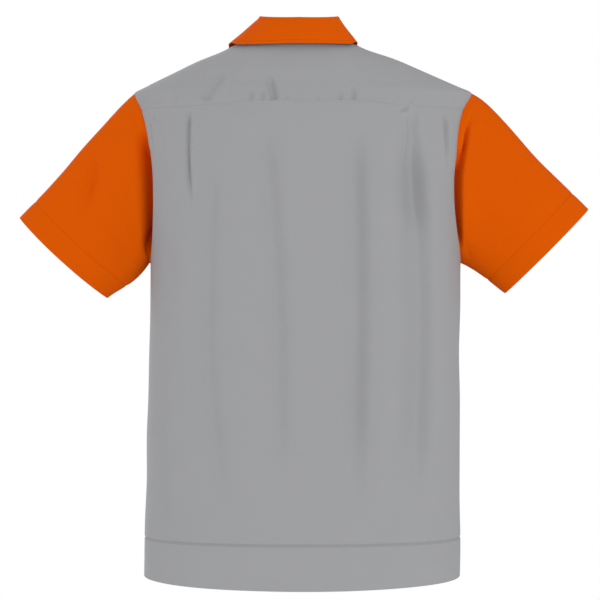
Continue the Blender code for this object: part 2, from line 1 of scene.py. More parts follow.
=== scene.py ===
# %% [markdown]
# # A short-sleeved shirt in two colours
# The shirt has a grey body and an orange collar and sleeves.  It is seen from behind, filled out as
# if worn, with nobody in it.  Its cut pieces are walls in the imported model; here each of them gets a
# fine sheet of cloth on the same form, with its creases, hems, stitches and weave.
#
# The first lines load the imported model.

# %% Load the frame
import json
import math
from collections import namedtuple

import bmesh
import bpy
import numpy as np
from mathutils import Matrix, Vector

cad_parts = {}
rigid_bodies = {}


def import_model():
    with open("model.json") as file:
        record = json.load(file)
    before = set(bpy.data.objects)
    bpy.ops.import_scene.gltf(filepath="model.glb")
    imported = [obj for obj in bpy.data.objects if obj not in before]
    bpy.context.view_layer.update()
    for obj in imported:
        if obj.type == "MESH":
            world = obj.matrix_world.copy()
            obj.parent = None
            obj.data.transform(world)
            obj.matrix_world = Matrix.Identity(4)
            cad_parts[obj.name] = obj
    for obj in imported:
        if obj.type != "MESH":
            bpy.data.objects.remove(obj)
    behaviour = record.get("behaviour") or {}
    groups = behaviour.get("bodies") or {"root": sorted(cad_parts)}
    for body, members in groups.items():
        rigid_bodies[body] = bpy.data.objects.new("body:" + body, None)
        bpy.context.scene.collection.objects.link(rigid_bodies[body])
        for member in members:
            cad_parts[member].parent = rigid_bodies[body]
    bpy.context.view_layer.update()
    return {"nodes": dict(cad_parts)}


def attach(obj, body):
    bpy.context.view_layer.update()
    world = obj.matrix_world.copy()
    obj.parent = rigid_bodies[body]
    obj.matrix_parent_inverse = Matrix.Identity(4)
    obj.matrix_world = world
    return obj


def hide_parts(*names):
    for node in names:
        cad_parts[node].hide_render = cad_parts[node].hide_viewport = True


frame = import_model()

BODY = "root"
print("nodes:", ", ".join(sorted(frame["nodes"])))

# %% [markdown]
# ## Camera
# The photograph looks straight at the back, at the height of the middle of the shirt.  The level
# seams curve a little, as they do round a body 0.27 m deep that is seen from 3.2 m.  The lens follows
# from that distance and from the width that the picture spans at the shirt's middle depth.

# %% Camera
VIEW_DISTANCE = 3.2
VIEW_X = 0.0057
VIEW_HEIGHT = -0.362
VIEW_SPAN = 0.859              # metres across the picture, at the shirt's middle depth
SENSOR = 36.0                  # millimetres

camera_data = bpy.data.cameras.new("camera")
camera_data.sensor_width = SENSOR
camera_data.lens = SENSOR * VIEW_DISTANCE / VIEW_SPAN
camera = bpy.data.objects.new("camera", camera_data)
camera.location = (VIEW_X, VIEW_DISTANCE, VIEW_HEIGHT)
camera.rotation_euler = (math.pi / 2.0, 0.0, math.pi)
bpy.context.scene.collection.objects.link(camera)
bpy.context.scene.camera = camera
print("lens: {:.1f} mm".format(camera_data.lens))

# %% [markdown]
# ## Light
# A shirt on a white page needs light from all sides, or its folds turn too dark.  Most of it comes
# from the world, which the camera itself sees as plain white.  One large soft lamp stands to the right
# of the camera, so that the walls of the folds that turn away to the left are darker, as in the
# photograph.  A weaker one, level with the shirt on its left, keeps the side itself from darkening,
# and a third one lights the front.

# %% Light
WORLD_LIGHT = 0.76
WHITE = (1.0, 1.0, 1.0, 1.0)
Lamp = namedtuple("Lamp", "name place size power")
LAMPS = (
    Lamp("lamp_right", (-1.75, 3.45, 0.2), 2.2, 44.5),
    Lamp("lamp_left", (3.2, 0.1, 0.5), 2.4, 20.0),
    Lamp("lamp_front", (1.6, -3.2, 1.2), 2.2, 50.0),
)


def add_node(nodes, kind, **inputs):
    """Add a node and set its plain inputs by name, with _ for a blank."""
    node = nodes.new(kind)
    for name, value in inputs.items():
        node.inputs[name.replace("_", " ")].default_value = value
    return node


def make_world():
    """Plain white for the camera, and a dimmer white that lights the shirt from all sides."""
    world = bpy.data.worlds.new("studio")
    bpy.context.scene.world = world
    world.use_nodes = True
    nodes = world.node_tree.nodes
    links = world.node_tree.links
    nodes.clear()
    lit = add_node(nodes, "ShaderNodeBackground", Color=WHITE, Strength=WORLD_LIGHT)
    seen = add_node(nodes, "ShaderNodeBackground", Color=WHITE, Strength=1.0)
    path = nodes.new("ShaderNodeLightPath")
    mix = nodes.new("ShaderNodeMixShader")
    output = nodes.new("ShaderNodeOutputWorld")
    links.new(path.outputs["Is Camera Ray"], mix.inputs["Fac"])
    links.new(lit.outputs[0], mix.inputs[1])
    links.new(seen.outputs[0], mix.inputs[2])
    links.new(mix.outputs[0], output.inputs["Surface"])


def make_lamp(lamp):
    """A round soft lamp that points at the middle of the shirt."""
    data = bpy.data.lights.new(lamp.name, "AREA")
    data.shape = "DISK"
    data.size = lamp.size
    data.energy = lamp.power
    item = bpy.data.objects.new(lamp.name, data)
    item.location = lamp.place
    aim = Vector((VIEW_X, 0.0, VIEW_HEIGHT))
    item.rotation_euler = (aim - item.location).to_track_quat("-Z", "Y").to_euler()
    bpy.context.scene.collection.objects.link(item)


make_world()
for lamp in LAMPS:
    make_lamp(lamp)
bpy.context.scene.view_settings.view_transform = "Standard"
print("lamps:", len(LAMPS))

# %% [markdown]
# ## Floor
# The floor only shows from above and from the sides.  It is a pale disc that lies well below the hem,
# and it turns clear towards its edge, so that the edge never shows against the white.

# %% Floor
FLOOR_HEIGHT = -1.15
FLOOR_RADIUS = 3.0
FLOOR_FADE = (0.9, 2.55)       # distances from its middle between which the floor fades out
FLOOR_SIDES = 96
FLOOR_COLOUR = (0.90, 0.90, 0.89, 1.0)
FLOOR_ROUGHNESS = 0.8


def painted(name, colour, roughness):
    """A material of one colour, and its shader node."""
    material = bpy.data.materials.new(name)
    material.use_nodes = True
    material.diffuse_color = colour
    shader = material.node_tree.nodes["Principled BSDF"]
    shader.inputs["Base Color"].default_value = colour
    shader.inputs["Roughness"].default_value = roughness
    return material, shader


def make_floor():
    bpy.ops.mesh.primitive_circle_add(vertices=FLOOR_SIDES, radius=FLOOR_RADIUS, fill_type="NGON",
                                      location=(0.0, 0.0, FLOOR_HEIGHT))
    floor = bpy.context.object
    floor.name = "floor"
    material, shader = painted("pale_floor", FLOOR_COLOUR, FLOOR_ROUGHNESS)
    nodes = material.node_tree.nodes
    links = material.node_tree.links
    where = nodes.new("ShaderNodeTexCoord")
    length = nodes.new("ShaderNodeVectorMath")
    length.operation = "LENGTH"
    start, end = FLOOR_FADE
    fade = add_node(nodes, "ShaderNodeMapRange", From_Min=start, From_Max=end, To_Min=1.0, To_Max=0.0)
    fade.interpolation_type = "SMOOTHSTEP"
    links.new(where.outputs["Object"], length.inputs[0])
    links.new(length.outputs["Value"], fade.inputs["Value"])
    links.new(fade.outputs["Result"], shader.inputs["Alpha"])
    floor.data.materials.append(material)
    print("floor: {:.1f} m below the neck, {:.0f} m across".format(-FLOOR_HEIGHT, 2.0 * FLOOR_RADIUS))


make_floor()

# %% [markdown]
# ## The form of the body
# A worn shirt is a tube whose level sections are rounded boxes.  A simulation could drape one over a
# figure, but then no seam would lie just where the photograph has it.  So a table gives a section at
# each height where the form changes: half its width, where its back, its front and the line over the
# shoulders lie, how square it is and where its middle is.  A smooth curve through each column gives
# any section between.  numpy works out thousands of points in one call, so that the fine sheets take
# no time.

# %% Sections of the body
QUARTER = math.pi / 2.0
FULL_TURN = 2.0 * math.pi
UNDERARM = -0.309
Section = namedtuple("Section", "height half_width back front ridge squareness centre")
SECTIONS = (
    Section(0.030, 0.0530, 0.066, -0.004, 0.031, 2.00, 0.011),
    Section(0.009, 0.0730, 0.073, -0.014, 0.030, 2.00, 0.012),
    Section(-0.006, 0.0990, 0.080, -0.024, 0.028, 2.00, 0.012),
    Section(-0.022, 0.1418, 0.089, -0.033, 0.021, 1.85, 0.0075),
    Section(-0.040, 0.1832, 0.099, -0.042, 0.014, 1.75, 0.004),
    Section(-0.058, 0.2236, 0.107, -0.051, 0.008, 1.70, 0.0015),
    Section(-0.067, 0.2410, 0.112, -0.056, 0.005, 1.70, 0.0015),
    Section(-0.091, 0.2415, 0.123, -0.069, 0.002, 1.80, 0.0020),
    Section(-0.130, 0.2350, 0.131, -0.087, 0.000, 2.10, 0.0018),
    Section(-0.188, 0.2298, 0.137, -0.108, 0.000, 2.35, 0.0015),
    Section(-0.250, 0.2253, 0.139, -0.120, 0.000, 2.40, 0.0000),
    Section(-0.309, 0.2218, 0.139, -0.126, 0.000, 2.40, -0.0018),
    Section(-0.430, 0.2216, 0.138, -0.129, 0.000, 2.40, -0.0012),
    Section(-0.577, 0.2230, 0.138, -0.130, 0.000, 2.40, 0.0012),
    Section(-0.700, 0.2252, 0.137, -0.132, 0.000, 2.40, 0.0025),
    Section(-0.780, 0.2256, 0.138, -0.134, 0.000, 2.40, 0.0027),
)


def curve_value(places, values, at):
    """Values at any places on a smooth curve through the given ones; places ascend."""
    places = np.asarray(places, float)
    values = np.asarray(values, float)
    at = np.clip(at, places[0], places[-1])
    slopes = np.gradient(values, places)
    slopes[1:-1] = (values[2:] - values[:-2]) / (places[2:] - places[:-2])
    index = np.clip(np.searchsorted(places, at) - 1, 0, len(places) - 2)
    span = places[index + 1] - places[index]
    t = (at - places[index]) / span
    rise = t * t * (3.0 - 2.0 * t)
    return (values[index] * (1.0 - rise) + values[index + 1] * rise
            + span * (slopes[index] * t * (1.0 - t) ** 2 + slopes[index + 1] * t * t * (t - 1.0)))


SECTIONS_UP = tuple(reversed(SECTIONS))
SECTION_HEIGHTS = [section.height for section in SECTIONS_UP]
SECTION_COLUMNS = list(zip(*SECTIONS_UP))


def section_at(height):
    return Section(*(curve_value(SECTION_HEIGHTS, column, height) for column in SECTION_COLUMNS))


print("sections: {}, chest {:.0f} mm wide".format(
    len(SECTIONS), 2000.0 * section_at(UNDERARM).half_width))

# %% Points of the body
NORMAL_TURN = 0.004            # steps to either side from which the way out of the cloth is measured
NORMAL_LIFT = 0.0008
SHORTEST = 1e-12               # keeps a direction without length from being divided by 0
GIRTH_STEPS = 721


def body_point(angle, height):
    """Points of the body; the angle is 0 at the centre back and +90 degrees at the left side."""
    angle, height = np.broadcast_arrays(np.asarray(angle, float), np.asarray(height, float))
    form = section_at(height)
    sine = np.sin(angle)
    cosine = np.cos(angle)
    reach = (np.abs(sine) ** form.squareness + np.abs(cosine) ** form.squareness)
    reach = reach ** (-1.0 / form.squareness)
    depth = np.where(cosine > 0.0, form.back - form.ridge, form.ridge - form.front)
    return np.stack([form.centre + form.half_width * reach * sine,
                     form.ridge + depth * reach * cosine,
                     height], axis=-1)


def unit(vectors):
    return vectors / np.maximum(np.linalg.norm(vectors, axis=-1, keepdims=True), SHORTEST)


def surface_normal(surface, angle, height):
    """Outward normals of a surface that is a function of angle and height."""
    along = surface(angle + NORMAL_TURN, height) - surface(angle - NORMAL_TURN, height)
    up = surface(angle, height + NORMAL_LIFT) - surface(angle, height - NORMAL_LIFT)
    return unit(np.cross(up, along))


chest = body_point(np.linspace(0.0, FULL_TURN, GIRTH_STEPS), UNDERARM)
chest_girth = np.linalg.norm(np.diff(chest, axis=0), axis=1).sum()
print("chest: {:.3f} m round".format(chest_girth))

# %% [markdown]
# ## Large folds
# Loose cloth hangs from the yoke and the chest in wide upright folds.  Each has its own place in the
# photograph, so they are listed one by one.  Each row of the table is a trough that runs down the back
# (+1) or the front (-1) through three places and fades out at both ends.  One of its sides is steep
# and the other runs out gently, to the left (+1) or to the right (-1), so that it shows as a narrow
# dark band beside a wide pale one.

# %% Large folds
Fold = namedtuple("Fold", "side top bottom x_top x_middle x_bottom width depth gentle")
FOLDS = (
    Fold(+1, -0.150, -0.690, 0.1265, 0.1350, 0.1125, 0.0115, 0.0062, +1),
    Fold(+1, -0.100, -0.660, 0.0565, 0.0380, 0.0380, 0.0135, 0.0078, +1),
    Fold(+1, -0.100, -0.690, -0.0690, -0.0720, -0.0660, 0.0160, 0.0140, +1),
    Fold(+1, -0.110, -0.690, -0.1520, -0.1680, -0.1520, 0.0140, 0.0175, +1),
    Fold(+1, -0.088, -0.280, -0.1460, -0.1590, -0.1680, 0.0080, 0.0065, +1),
    Fold(-1, -0.210, -0.690, 0.1250, 0.1390, 0.1120, 0.0150, 0.0060, +1),
    Fold(-1, -0.260, -0.690, 0.0550, 0.0490, 0.0580, 0.0140, 0.0045, +1),
    Fold(-1, -0.240, -0.690, -0.0600, -0.0720, -0.0550, 0.0140, 0.0050, -1),
    Fold(-1, -0.190, -0.690, -0.1380, -0.1500, -0.1300, 0.0150, 0.0065, -1),
)
FOLD_RUN_OUT = 2.2             # how much wider a fold's gentle side is than its steep one
FOLD_START = 0.15              # shares of a fold's length over which it starts and fades out
FOLD_END = 0.30


def smooth_step(t):
    t = np.clip(t, 0.0, 1.0)
    return t * t * (3.0 - 2.0 * t)


def fold_depth(side, x, height):
    """How deep the folds press the cloth in."""
    total = np.zeros_like(x)
    for fold in FOLDS:
        down = (fold.top - height) / (fold.top - fold.bottom)
        centre = curve_value((0.0, 0.5, 1.0), (fold.x_top, fold.x_middle, fold.x_bottom), down)
        strength = smooth_step(down / FOLD_START) * smooth_step((1.0 - down) / FOLD_END)
        here = (side == fold.side) * fold.depth * strength
        width = np.where((x - centre) * fold.gentle > 0.0, FOLD_RUN_OUT, 1.0) * fold.width
        total += here * np.exp(-((x - centre) / width) ** 2)
    return total


def skin_point(angle, height):
    """Points of the body with its large folds."""
    plain = body_point(angle, height)
    side = np.where(np.cos(angle) > 0.0, 1, -1)
    depth = fold_depth(side, plain[..., 0], plain[..., 2])
    return plain - depth[..., None] * surface_normal(body_point, angle, height)


def skin_normal(angle, height):
    return surface_normal(skin_point, angle, height)


print("large folds:", len(FOLDS))

# %% [markdown]
# ## Where a panel's points lie
# A half panel is measured by its share of the way from the centre to the side, and by its height.
# Below the armholes both run straight.  Higher up the side edge follows the armhole, and the top edge
# is the yoke seam, or the shoulder seam and the neckline, so the rows bend to meet them.  The same
# lines bound the neighbours: two pieces that are sewn together share them.

# %% Lines on the body
NECK_POINT = 0.009
NECK_BACK_DROP = 0.010
NECK_FRONT_DROP = 0.068
NECK_SHARE = 5.0 / 16.0        # share of a half panel's columns that end at the neck
SHOULDER_TIP = -0.067
ARMHOLE_SPREAD = math.radians(25.0)
ARMHOLE_MIDDLE = (SHOULDER_TIP + UNDERARM) / 2.0
ARMHOLE_REACH = (SHOULDER_TIP - UNDERARM) / 2.0
RIDGE_STEPS = 400
RIDGE_HEIGHTS = np.linspace(SHOULDER_TIP, SECTIONS[0].height, RIDGE_STEPS)
RIDGE_WIDTHS = section_at(RIDGE_HEIGHTS).half_width


def armhole_place(turn):
    """Angle off the centre and height on an armhole; turn 0 is its top, pi its bottom."""
    return (QUARTER - ARMHOLE_SPREAD * np.abs(np.sin(turn)),
            ARMHOLE_MIDDLE + ARMHOLE_REACH * np.cos(turn))


def across_at(from_centre, height):
    return body_point(from_centre, height)[..., 0] - section_at(height).centre


def angle_from_centre(across, height):
    form = section_at(height)
    share = np.clip(across / form.half_width, 0.0, 1.0)
    rest = (1.0 - share ** form.squareness) ** (1.0 / form.squareness)
    return np.arctan2(share, rest)


def ridge_height(across):
    """Height at which the shoulder's ridge is this far from its centre line."""
    return np.interp(across, RIDGE_WIDTHS[::-1], RIDGE_HEIGHTS[::-1])


def squeezed(share, edge_angle):
    return share * QUARTER - (QUARTER - edge_angle) * share ** 2


def neckline_place(around, side):
    drop = NECK_BACK_DROP if side > 0 else NECK_FRONT_DROP
    return (section_at(NECK_POINT).half_width * np.sin(around),
            NECK_POINT - drop * np.cos(around))


def top_place(share, side):
    """Across and height on a panel's top edge: neckline, then shoulder seam."""
    neck_across, neck_height = neckline_place(QUARTER * np.clip(share / NECK_SHARE, 0, 1), side)
    along = (share - NECK_SHARE) / (1.0 - NECK_SHARE)
    height = NECK_POINT + (SHOULDER_TIP - NECK_POINT) * np.clip(along, 0.0, 1.0)
    on_neck = share <= NECK_SHARE
    return (np.where(on_neck, neck_across, section_at(height).half_width),
            np.where(on_neck, neck_height, height))


print("armhole: {:.0f} mm high, neck: {:.0f} mm wide".format(
    2000.0 * ARMHOLE_REACH, 2000.0 * section_at(NECK_POINT).half_width))

# %% [markdown]
# The rows of a panel are spread evenly between its lower and its upper edge.  The back's rows take up
# the bend of the yoke seam only close to it.  The rows over the shoulders fan out from the armhole to
# the neck.

# %% Rows of the panels
YOKE_CENTRE = -0.0874
YOKE_SIDE = -0.0936
YOKE_TURN = math.acos((YOKE_SIDE - ARMHOLE_MIDDLE) / ARMHOLE_REACH)
YOKE_BEND = (0.18, 0.48)       # shares of a half panel between which the yoke seam drops
YOKE_BEND_POWER = 4            # the higher, the closer to the seam the rows take up its bend
SIDE_POWER = 3                 # and the closer to the armhole they take up its height
BAND_SEAM = -0.699


def lower_place(share, up):
    """Between the band seam and the underarm; up runs from 0 to 1."""
    return share * QUARTER, BAND_SEAM + (UNDERARM - BAND_SEAM) * up + 0.0 * share


def back_place(share, up):
    """Between the underarm and the yoke seam."""
    edge_angle, edge_height = armhole_place(math.pi + (YOKE_TURN - math.pi) * up)
    centre = UNDERARM + (YOKE_CENTRE - UNDERARM) * up
    start, end = YOKE_BEND
    low_bend = share ** SIDE_POWER
    seam_bend = smooth_step((share - start) / (end - start))
    bend = low_bend + (seam_bend - low_bend) * up ** YOKE_BEND_POWER
    return squeezed(share, edge_angle), centre + (edge_height - centre) * bend


print("yoke seam: {:.0f} mm lower at the armhole".format(1000.0 * (YOKE_CENTRE - YOKE_SIDE)))

# %% Rows over the shoulders
FAN = 2.5                      # the higher, the closer to the neck the columns spread


def top_panel_place(share, up, side, first_turn, low_height):
    """Between a low row and the shoulder seam and neckline."""
    turn = first_turn * (1.0 - up)
    edge_angle, edge_height = armhole_place(turn)
    edge_across = across_at(edge_angle, edge_height)
    eased = (1.0 - np.cos(turn)) / (1.0 - math.cos(first_turn))
    plain = 1.0 - up
    down = plain + (eased - plain) * np.clip(share / NECK_SHARE, 0.0, 1.0) ** 2
    top_across, top_height = top_place(share, side)
    low_spread = across_at(squeezed(share, edge_angle), edge_height) / edge_across
    top_spread = top_across / section_at(SHOULDER_TIP).half_width
    across = edge_across * (low_spread + (top_spread - low_spread) * up ** FAN)
    height = ridge_height(across) - (ridge_height(top_across) - top_height)
    height = height + (low_height - height) * down
    at_edge = share >= 1.0
    height = np.where(at_edge, edge_height, height)
    return np.where(at_edge, edge_angle, angle_from_centre(across, height)), height


def yoke_place(share, up):
    low_height = back_place(share, 1.0)[1]
    return top_panel_place(share, up, 1, YOKE_TURN, low_height)


def front_place(share, up):
    return top_panel_place(share, up, -1, math.pi, UNDERARM)


print("yoke: {:.0f} mm deep at the centre back".format(
    1000.0 * (NECK_POINT - NECK_BACK_DROP - YOKE_CENTRE)))

# %% [markdown]
# ## Creases
# The smaller creases are listed one by one, as uneven in length, depth and spacing as the photograph
# shows them, with similar ones on the sides that it hides.  A crease runs from its top to its bottom
# and bows sideways.  It is a soft trough, or, where `low` says on which side it lies lower, the edge
# of a fold: cloth that lies over its neighbour and casts a thin shadow.  It fades out before it
# reaches a seam, because it would open a gap there.

# %% Creases of the body
Crease = namedtuple("Crease", "x_top z_top x_bottom z_bottom bend width depth low start end")
YOKE_CREASES = (
    Crease(0.1090, -0.0380, 0.1400, -0.0860, 0.0030, 0.0085, 0.0056, 0, 0.30, 0.15),
    Crease(0.0733, -0.0660, 0.0735, -0.0868, 0.0000, 0.0034, 0.0030, 0, 0.60, 0.18),
    Crease(0.0568, -0.0650, 0.0572, -0.0868, 0.0000, 0.0036, 0.0032, 0, 0.60, 0.18),
    Crease(0.0500, -0.0420, 0.0400, -0.0872, 0.0010, 0.0056, 0.0062, 0, 0.55, 0.14),
    Crease(0.0240, -0.0710, 0.0240, -0.0868, 0.0000, 0.0030, 0.0018, 0, 0.60, 0.20),
    Crease(-0.0192, -0.0720, -0.0192, -0.0868, 0.0000, 0.0030, 0.0018, 0, 0.60, 0.20),
    Crease(-0.0497, -0.0670, -0.0497, -0.0868, 0.0000, 0.0034, 0.0030, 0, 0.60, 0.18),
    Crease(-0.0680, -0.0600, -0.0680, -0.0868, 0.0000, 0.0036, 0.0036, 0, 0.60, 0.18),
    Crease(-0.1500, -0.0700, -0.1480, -0.0900, 0.0000, 0.0034, 0.0014, 0, 0.60, 0.20),
    Crease(0.1880, -0.0640, 0.1830, -0.0910, 0.0000, 0.0050, 0.0016, 0, 0.50, 0.20),
    Crease(-0.2050, -0.0660, -0.2200, -0.0860, 0.0010, 0.0030, 0.0012, 0, 0.40, 0.40),
)
BACK_CREASES = (
    Crease(0.1600, -0.0935, 0.1552, -0.2400, 0.0040, 0.0032, 0.0052, 0, 0.16, 0.35),
    Crease(0.1610, -0.1040, 0.1580, -0.2010, 0.0030, 0.0030, 0.0010, +1, 0.35, 0.35),
    Crease(0.2200, -0.1050, 0.2125, -0.1700, -0.0010, 0.0024, 0.0022, 0, 0.25, 0.60),
    Crease(-0.1428, -0.0960, -0.1375, -0.2020, -0.0028, 0.0026, 0.0020, -1, 0.25, 0.45),
    Crease(-0.1500, -0.0945, -0.1290, -0.1025, 0.0006, 0.0022, 0.0030, 0, 0.40, 0.60),
    Crease(-0.1500, -0.0930, -0.1610, -0.1230, 0.0010, 0.0045, 0.0010, 0, 0.20, 0.50),
    Crease(-0.2000, -0.0950, -0.2015, -0.1860, 0.0000, 0.0030, 0.0062, 0, 0.25, 0.60),
    Crease(0.2100, -0.0965, 0.2150, -0.1140, 0.0000, 0.0028, 0.0018, 0, 0.40, 0.50),
    Crease(0.2020, -0.1120, 0.2040, -0.1600, 0.0000, 0.0060, 0.0010, 0, 0.30, 0.60),
    Crease(0.1950, -0.2700, 0.1720, -0.3600, 0.0040, 0.0100, 0.0014, 0, 0.40, 0.50),
    Crease(-0.1980, -0.2750, -0.1800, -0.3500, -0.0040, 0.0090, 0.0012, 0, 0.40, 0.50),
    Crease(0.2020, -0.4300, 0.1990, -0.6940, 0.0000, 0.0090, 0.0034, 0, 0.40, 0.20),
    Crease(-0.1250, -0.5200, -0.1180, -0.6900, -0.0030, 0.0120, 0.0012, 0, 0.40, 0.30),
)
FRONT_CREASES = (
    Crease(0.1900, -0.1650, 0.1200, -0.2550, 0.0080, 0.0090, 0.0018, 0, 0.25, 0.60),
    Crease(0.2000, -0.2250, 0.1450, -0.3150, 0.0080, 0.0080, 0.0014, 0, 0.25, 0.60),
    Crease(-0.1900, -0.1550, -0.1300, -0.2500, -0.0070, 0.0090, 0.0016, 0, 0.25, 0.60),
    Crease(-0.2020, -0.2350, -0.1500, -0.3200, -0.0060, 0.0070, 0.0013, 0, 0.25, 0.60),
    Crease(0.0360, -0.2100, 0.0700, -0.2900, 0.0030, 0.0080, 0.0010, 0, 0.40, 0.60),
    Crease(-0.0080, -0.2160, -0.0200, -0.3300, -0.0040, 0.0075, 0.0012, 0, 0.30, 0.60),
    Crease(0.1250, -0.0500, 0.0950, -0.1250, -0.0040, 0.0090, 0.0011, 0, 0.40, 0.60),
    Crease(-0.1350, -0.0520, -0.1050, -0.1300, 0.0040, 0.0090, 0.0011, 0, 0.40, 0.60),
    Crease(0.1900, -0.4400, 0.1820, -0.6900, 0.0060, 0.0130, 0.0018, 0, 0.40, 0.30),
    Crease(-0.0200, -0.4800, -0.0120, -0.6900, 0.0030, 0.0120, 0.0012, 0, 0.40, 0.30),
)
print("creases of the body:", len(YOKE_CREASES) + len(BACK_CREASES) + len(FRONT_CREASES))

# %% Creases of the sleeves
LEFT_SLEEVE_BACK = (
    Crease(0.2312, -0.1080, 0.2178, -0.3030, -0.0010, 0.0060, 0.0250, 0, 0.30, 0.12),
    Crease(0.2510, -0.0925, 0.2350, -0.1240, -0.0030, 0.0021, 0.0017, 0, 0.35, 0.40),
    Crease(0.2450, -0.0920, 0.2330, -0.1120, -0.0020, 0.0019, 0.0014, 0, 0.40, 0.40),
    Crease(0.2670, -0.1040, 0.2780, -0.1330, 0.0000, 0.0060, 0.0016, 0, 0.40, 0.50),
    Crease(0.2960, -0.1320, 0.3160, -0.2540, -0.0020, 0.0095, 0.0078, 0, 0.45, 0.45),
    Crease(0.3350, -0.2050, 0.3420, -0.2350, 0.0000, 0.0070, 0.0010, 0, 0.45, 0.45),
    Crease(0.2620, -0.2500, 0.2480, -0.3250, 0.0020, 0.0110, 0.0012, 0, 0.45, 0.30),
)
LEFT_SLEEVE_FRONT = (
    Crease(0.2300, -0.1500, 0.2200, -0.3050, -0.0035, 0.0058, 0.0080, 0, 0.50, 0.12),
    Crease(0.2470, -0.1000, 0.2370, -0.1300, 0.0012, 0.0020, 0.0010, 0, 0.40, 0.40),
    Crease(0.2850, -0.1400, 0.3020, -0.2300, 0.0020, 0.0090, 0.0020, 0, 0.45, 0.45),
    Crease(0.3300, -0.1950, 0.3380, -0.2400, 0.0000, 0.0070, 0.0012, 0, 0.45, 0.45),
)
RIGHT_SLEEVE_BACK = (
    Crease(-0.2380, -0.0930, -0.2185, -0.1990, 0.0014, 0.0024, 0.0120, 0, 0.55, 0.25),
    Crease(-0.2180, -0.1400, -0.2185, -0.2960, 0.0000, 0.0032, 0.0200, 0, 0.25, 0.15),
    Crease(-0.2770, -0.1200, -0.3160, -0.2430, 0.0050, 0.0140, 0.0030, 0, 0.40, 0.45),
    Crease(-0.2500, -0.1500, -0.2620, -0.2300, 0.0030, 0.0110, 0.0009, 0, 0.45, 0.45),
    Crease(-0.2280, -0.2780, -0.2380, -0.3080, 0.0000, 0.0030, 0.0007, 0, 0.40, 0.40),
)
RIGHT_SLEEVE_FRONT = (
    Crease(-0.2270, -0.1350, -0.2215, -0.2980, 0.0020, 0.0050, 0.0078, 0, 0.45, 0.15),
    Crease(-0.2440, -0.0960, -0.2360, -0.1240, -0.0012, 0.0020, 0.0009, 0, 0.40, 0.40),
    Crease(-0.2900, -0.1500, -0.3080, -0.2350, -0.0030, 0.0090, 0.0018, 0, 0.45, 0.45),
)
print("creases of the sleeves:", len(LEFT_SLEEVE_BACK) + len(LEFT_SLEEVE_FRONT)
      + len(RIGHT_SLEEVE_BACK) + len(RIGHT_SLEEVE_FRONT))

# %% [markdown]
# A crease moves the cloth along the way it faces.  Next to the creases, the cloth is nowhere quite
# even: a few long low waves run over all of it.

# %% Relief of the cloth
EDGE_SHARPNESS = 0.0009        # half width of a fold edge
FOLD_LIP = 0.35                # how high the upper cloth stands, as a share of the depth
WAVES = (                      # waves for each metre along x and z, phase, height
    (6.1, 2.3, 0.4, 0.00042), (-4.2, 5.6, 1.9, 0.00036), (9.7, -3.1, 4.0, 0.00026),
    (3.3, 8.9, 2.7, 0.00024), (13.1, 5.2, 5.5, 0.00014), (-11.3, 9.4, 0.9, 0.00013),
)
WAVE_SHIFT = 2.0               # how far the waves are shifted, for each metre from front to back


def crease_relief(points, creases):
    """How far the creases move each point along its outward normal."""
    x = points[..., 0]
    z = points[..., 2]
    relief = np.zeros_like(x)
    for crease in creases:
        run_x = crease.x_bottom - crease.x_top
        run_z = crease.z_bottom - crease.z_top
        length = math.hypot(run_x, run_z)
        run_x /= length
        run_z /= length
        from_x = x - crease.x_top
        from_z = z - crease.z_top
        along = (from_x * run_x + from_z * run_z) / length
        bend = crease.bend * 4.0 * along * (1.0 - along)
        across = from_z * run_x - from_x * run_z - bend
        strength = crease.depth * (smooth_step(along / crease.start)
                                   * smooth_step((1.0 - along) / crease.end))
        if crease.low == 0:
            relief -= strength * np.exp(-(across / crease.width) ** 2)
            continue
        across = across * crease.low
        lower = smooth_step(0.5 + 0.5 * across / EDGE_SHARPNESS)
        reach = np.exp(-np.abs(across) / crease.width)
        relief += strength * reach * (FOLD_LIP * (1.0 - lower) - lower)
    return relief


def unevenness(points):
    relief = np.zeros(points.shape[:-1])
    for along_x, along_z, phase, height in WAVES:
        turn = FULL_TURN * (along_x * points[..., 0] + along_z * points[..., 2]) + phase
        relief += height * np.sin(turn + WAVE_SHIFT * points[..., 1])
    return relief


print("unevenness: up to {:.1f} mm".format(1000.0 * sum(height for *_, height in WAVES)))

# %% [markdown]
# The sleeves hang down from the armhole seams and draw them in, most of all at the back of the left
# one.  The table says on which side of the wearer (left is +1) and of the shirt (back is +1) this is,
# between which heights it sets in, is full, and ends, and how deep it is.

# %% Drawn-in armholes
Drop = namedtuple("Drop", "left side top full last bottom depth")
DROPS = (
    Drop(+1, +1, -0.140, -0.200, -0.268, -0.3085, 0.0160),
    Drop(+1, -1, -0.150, -0.230, -0.275, -0.3060, 0.0060),
    Drop(-1, +1, -0.160, -0.200, -0.262, -0.2920, 0.0100),
    Drop(-1, -1, -0.150, -0.230, -0.275, -0.3060, 0.0050),
)


def seam_drop(points):
    """How far the armhole seam is drawn in, at the height of each point."""
    x, y, z = np.moveaxis(points, -1, 0)
    total = np.zeros_like(x)
    for drop in DROPS:
        falling = smooth_step((drop.top - z) / (drop.top - drop.full))
        rising = smooth_step((z - drop.bottom) / (drop.last - drop.bottom))
        here = (np.sign(x) == drop.left) & (np.where(y > 0.0, 1, -1) == drop.side)
        total += here * drop.depth * falling * rising
    return total


print("armholes: drawn in by up to {:.0f} mm".format(1000.0 * max(drop.depth for drop in DROPS)))

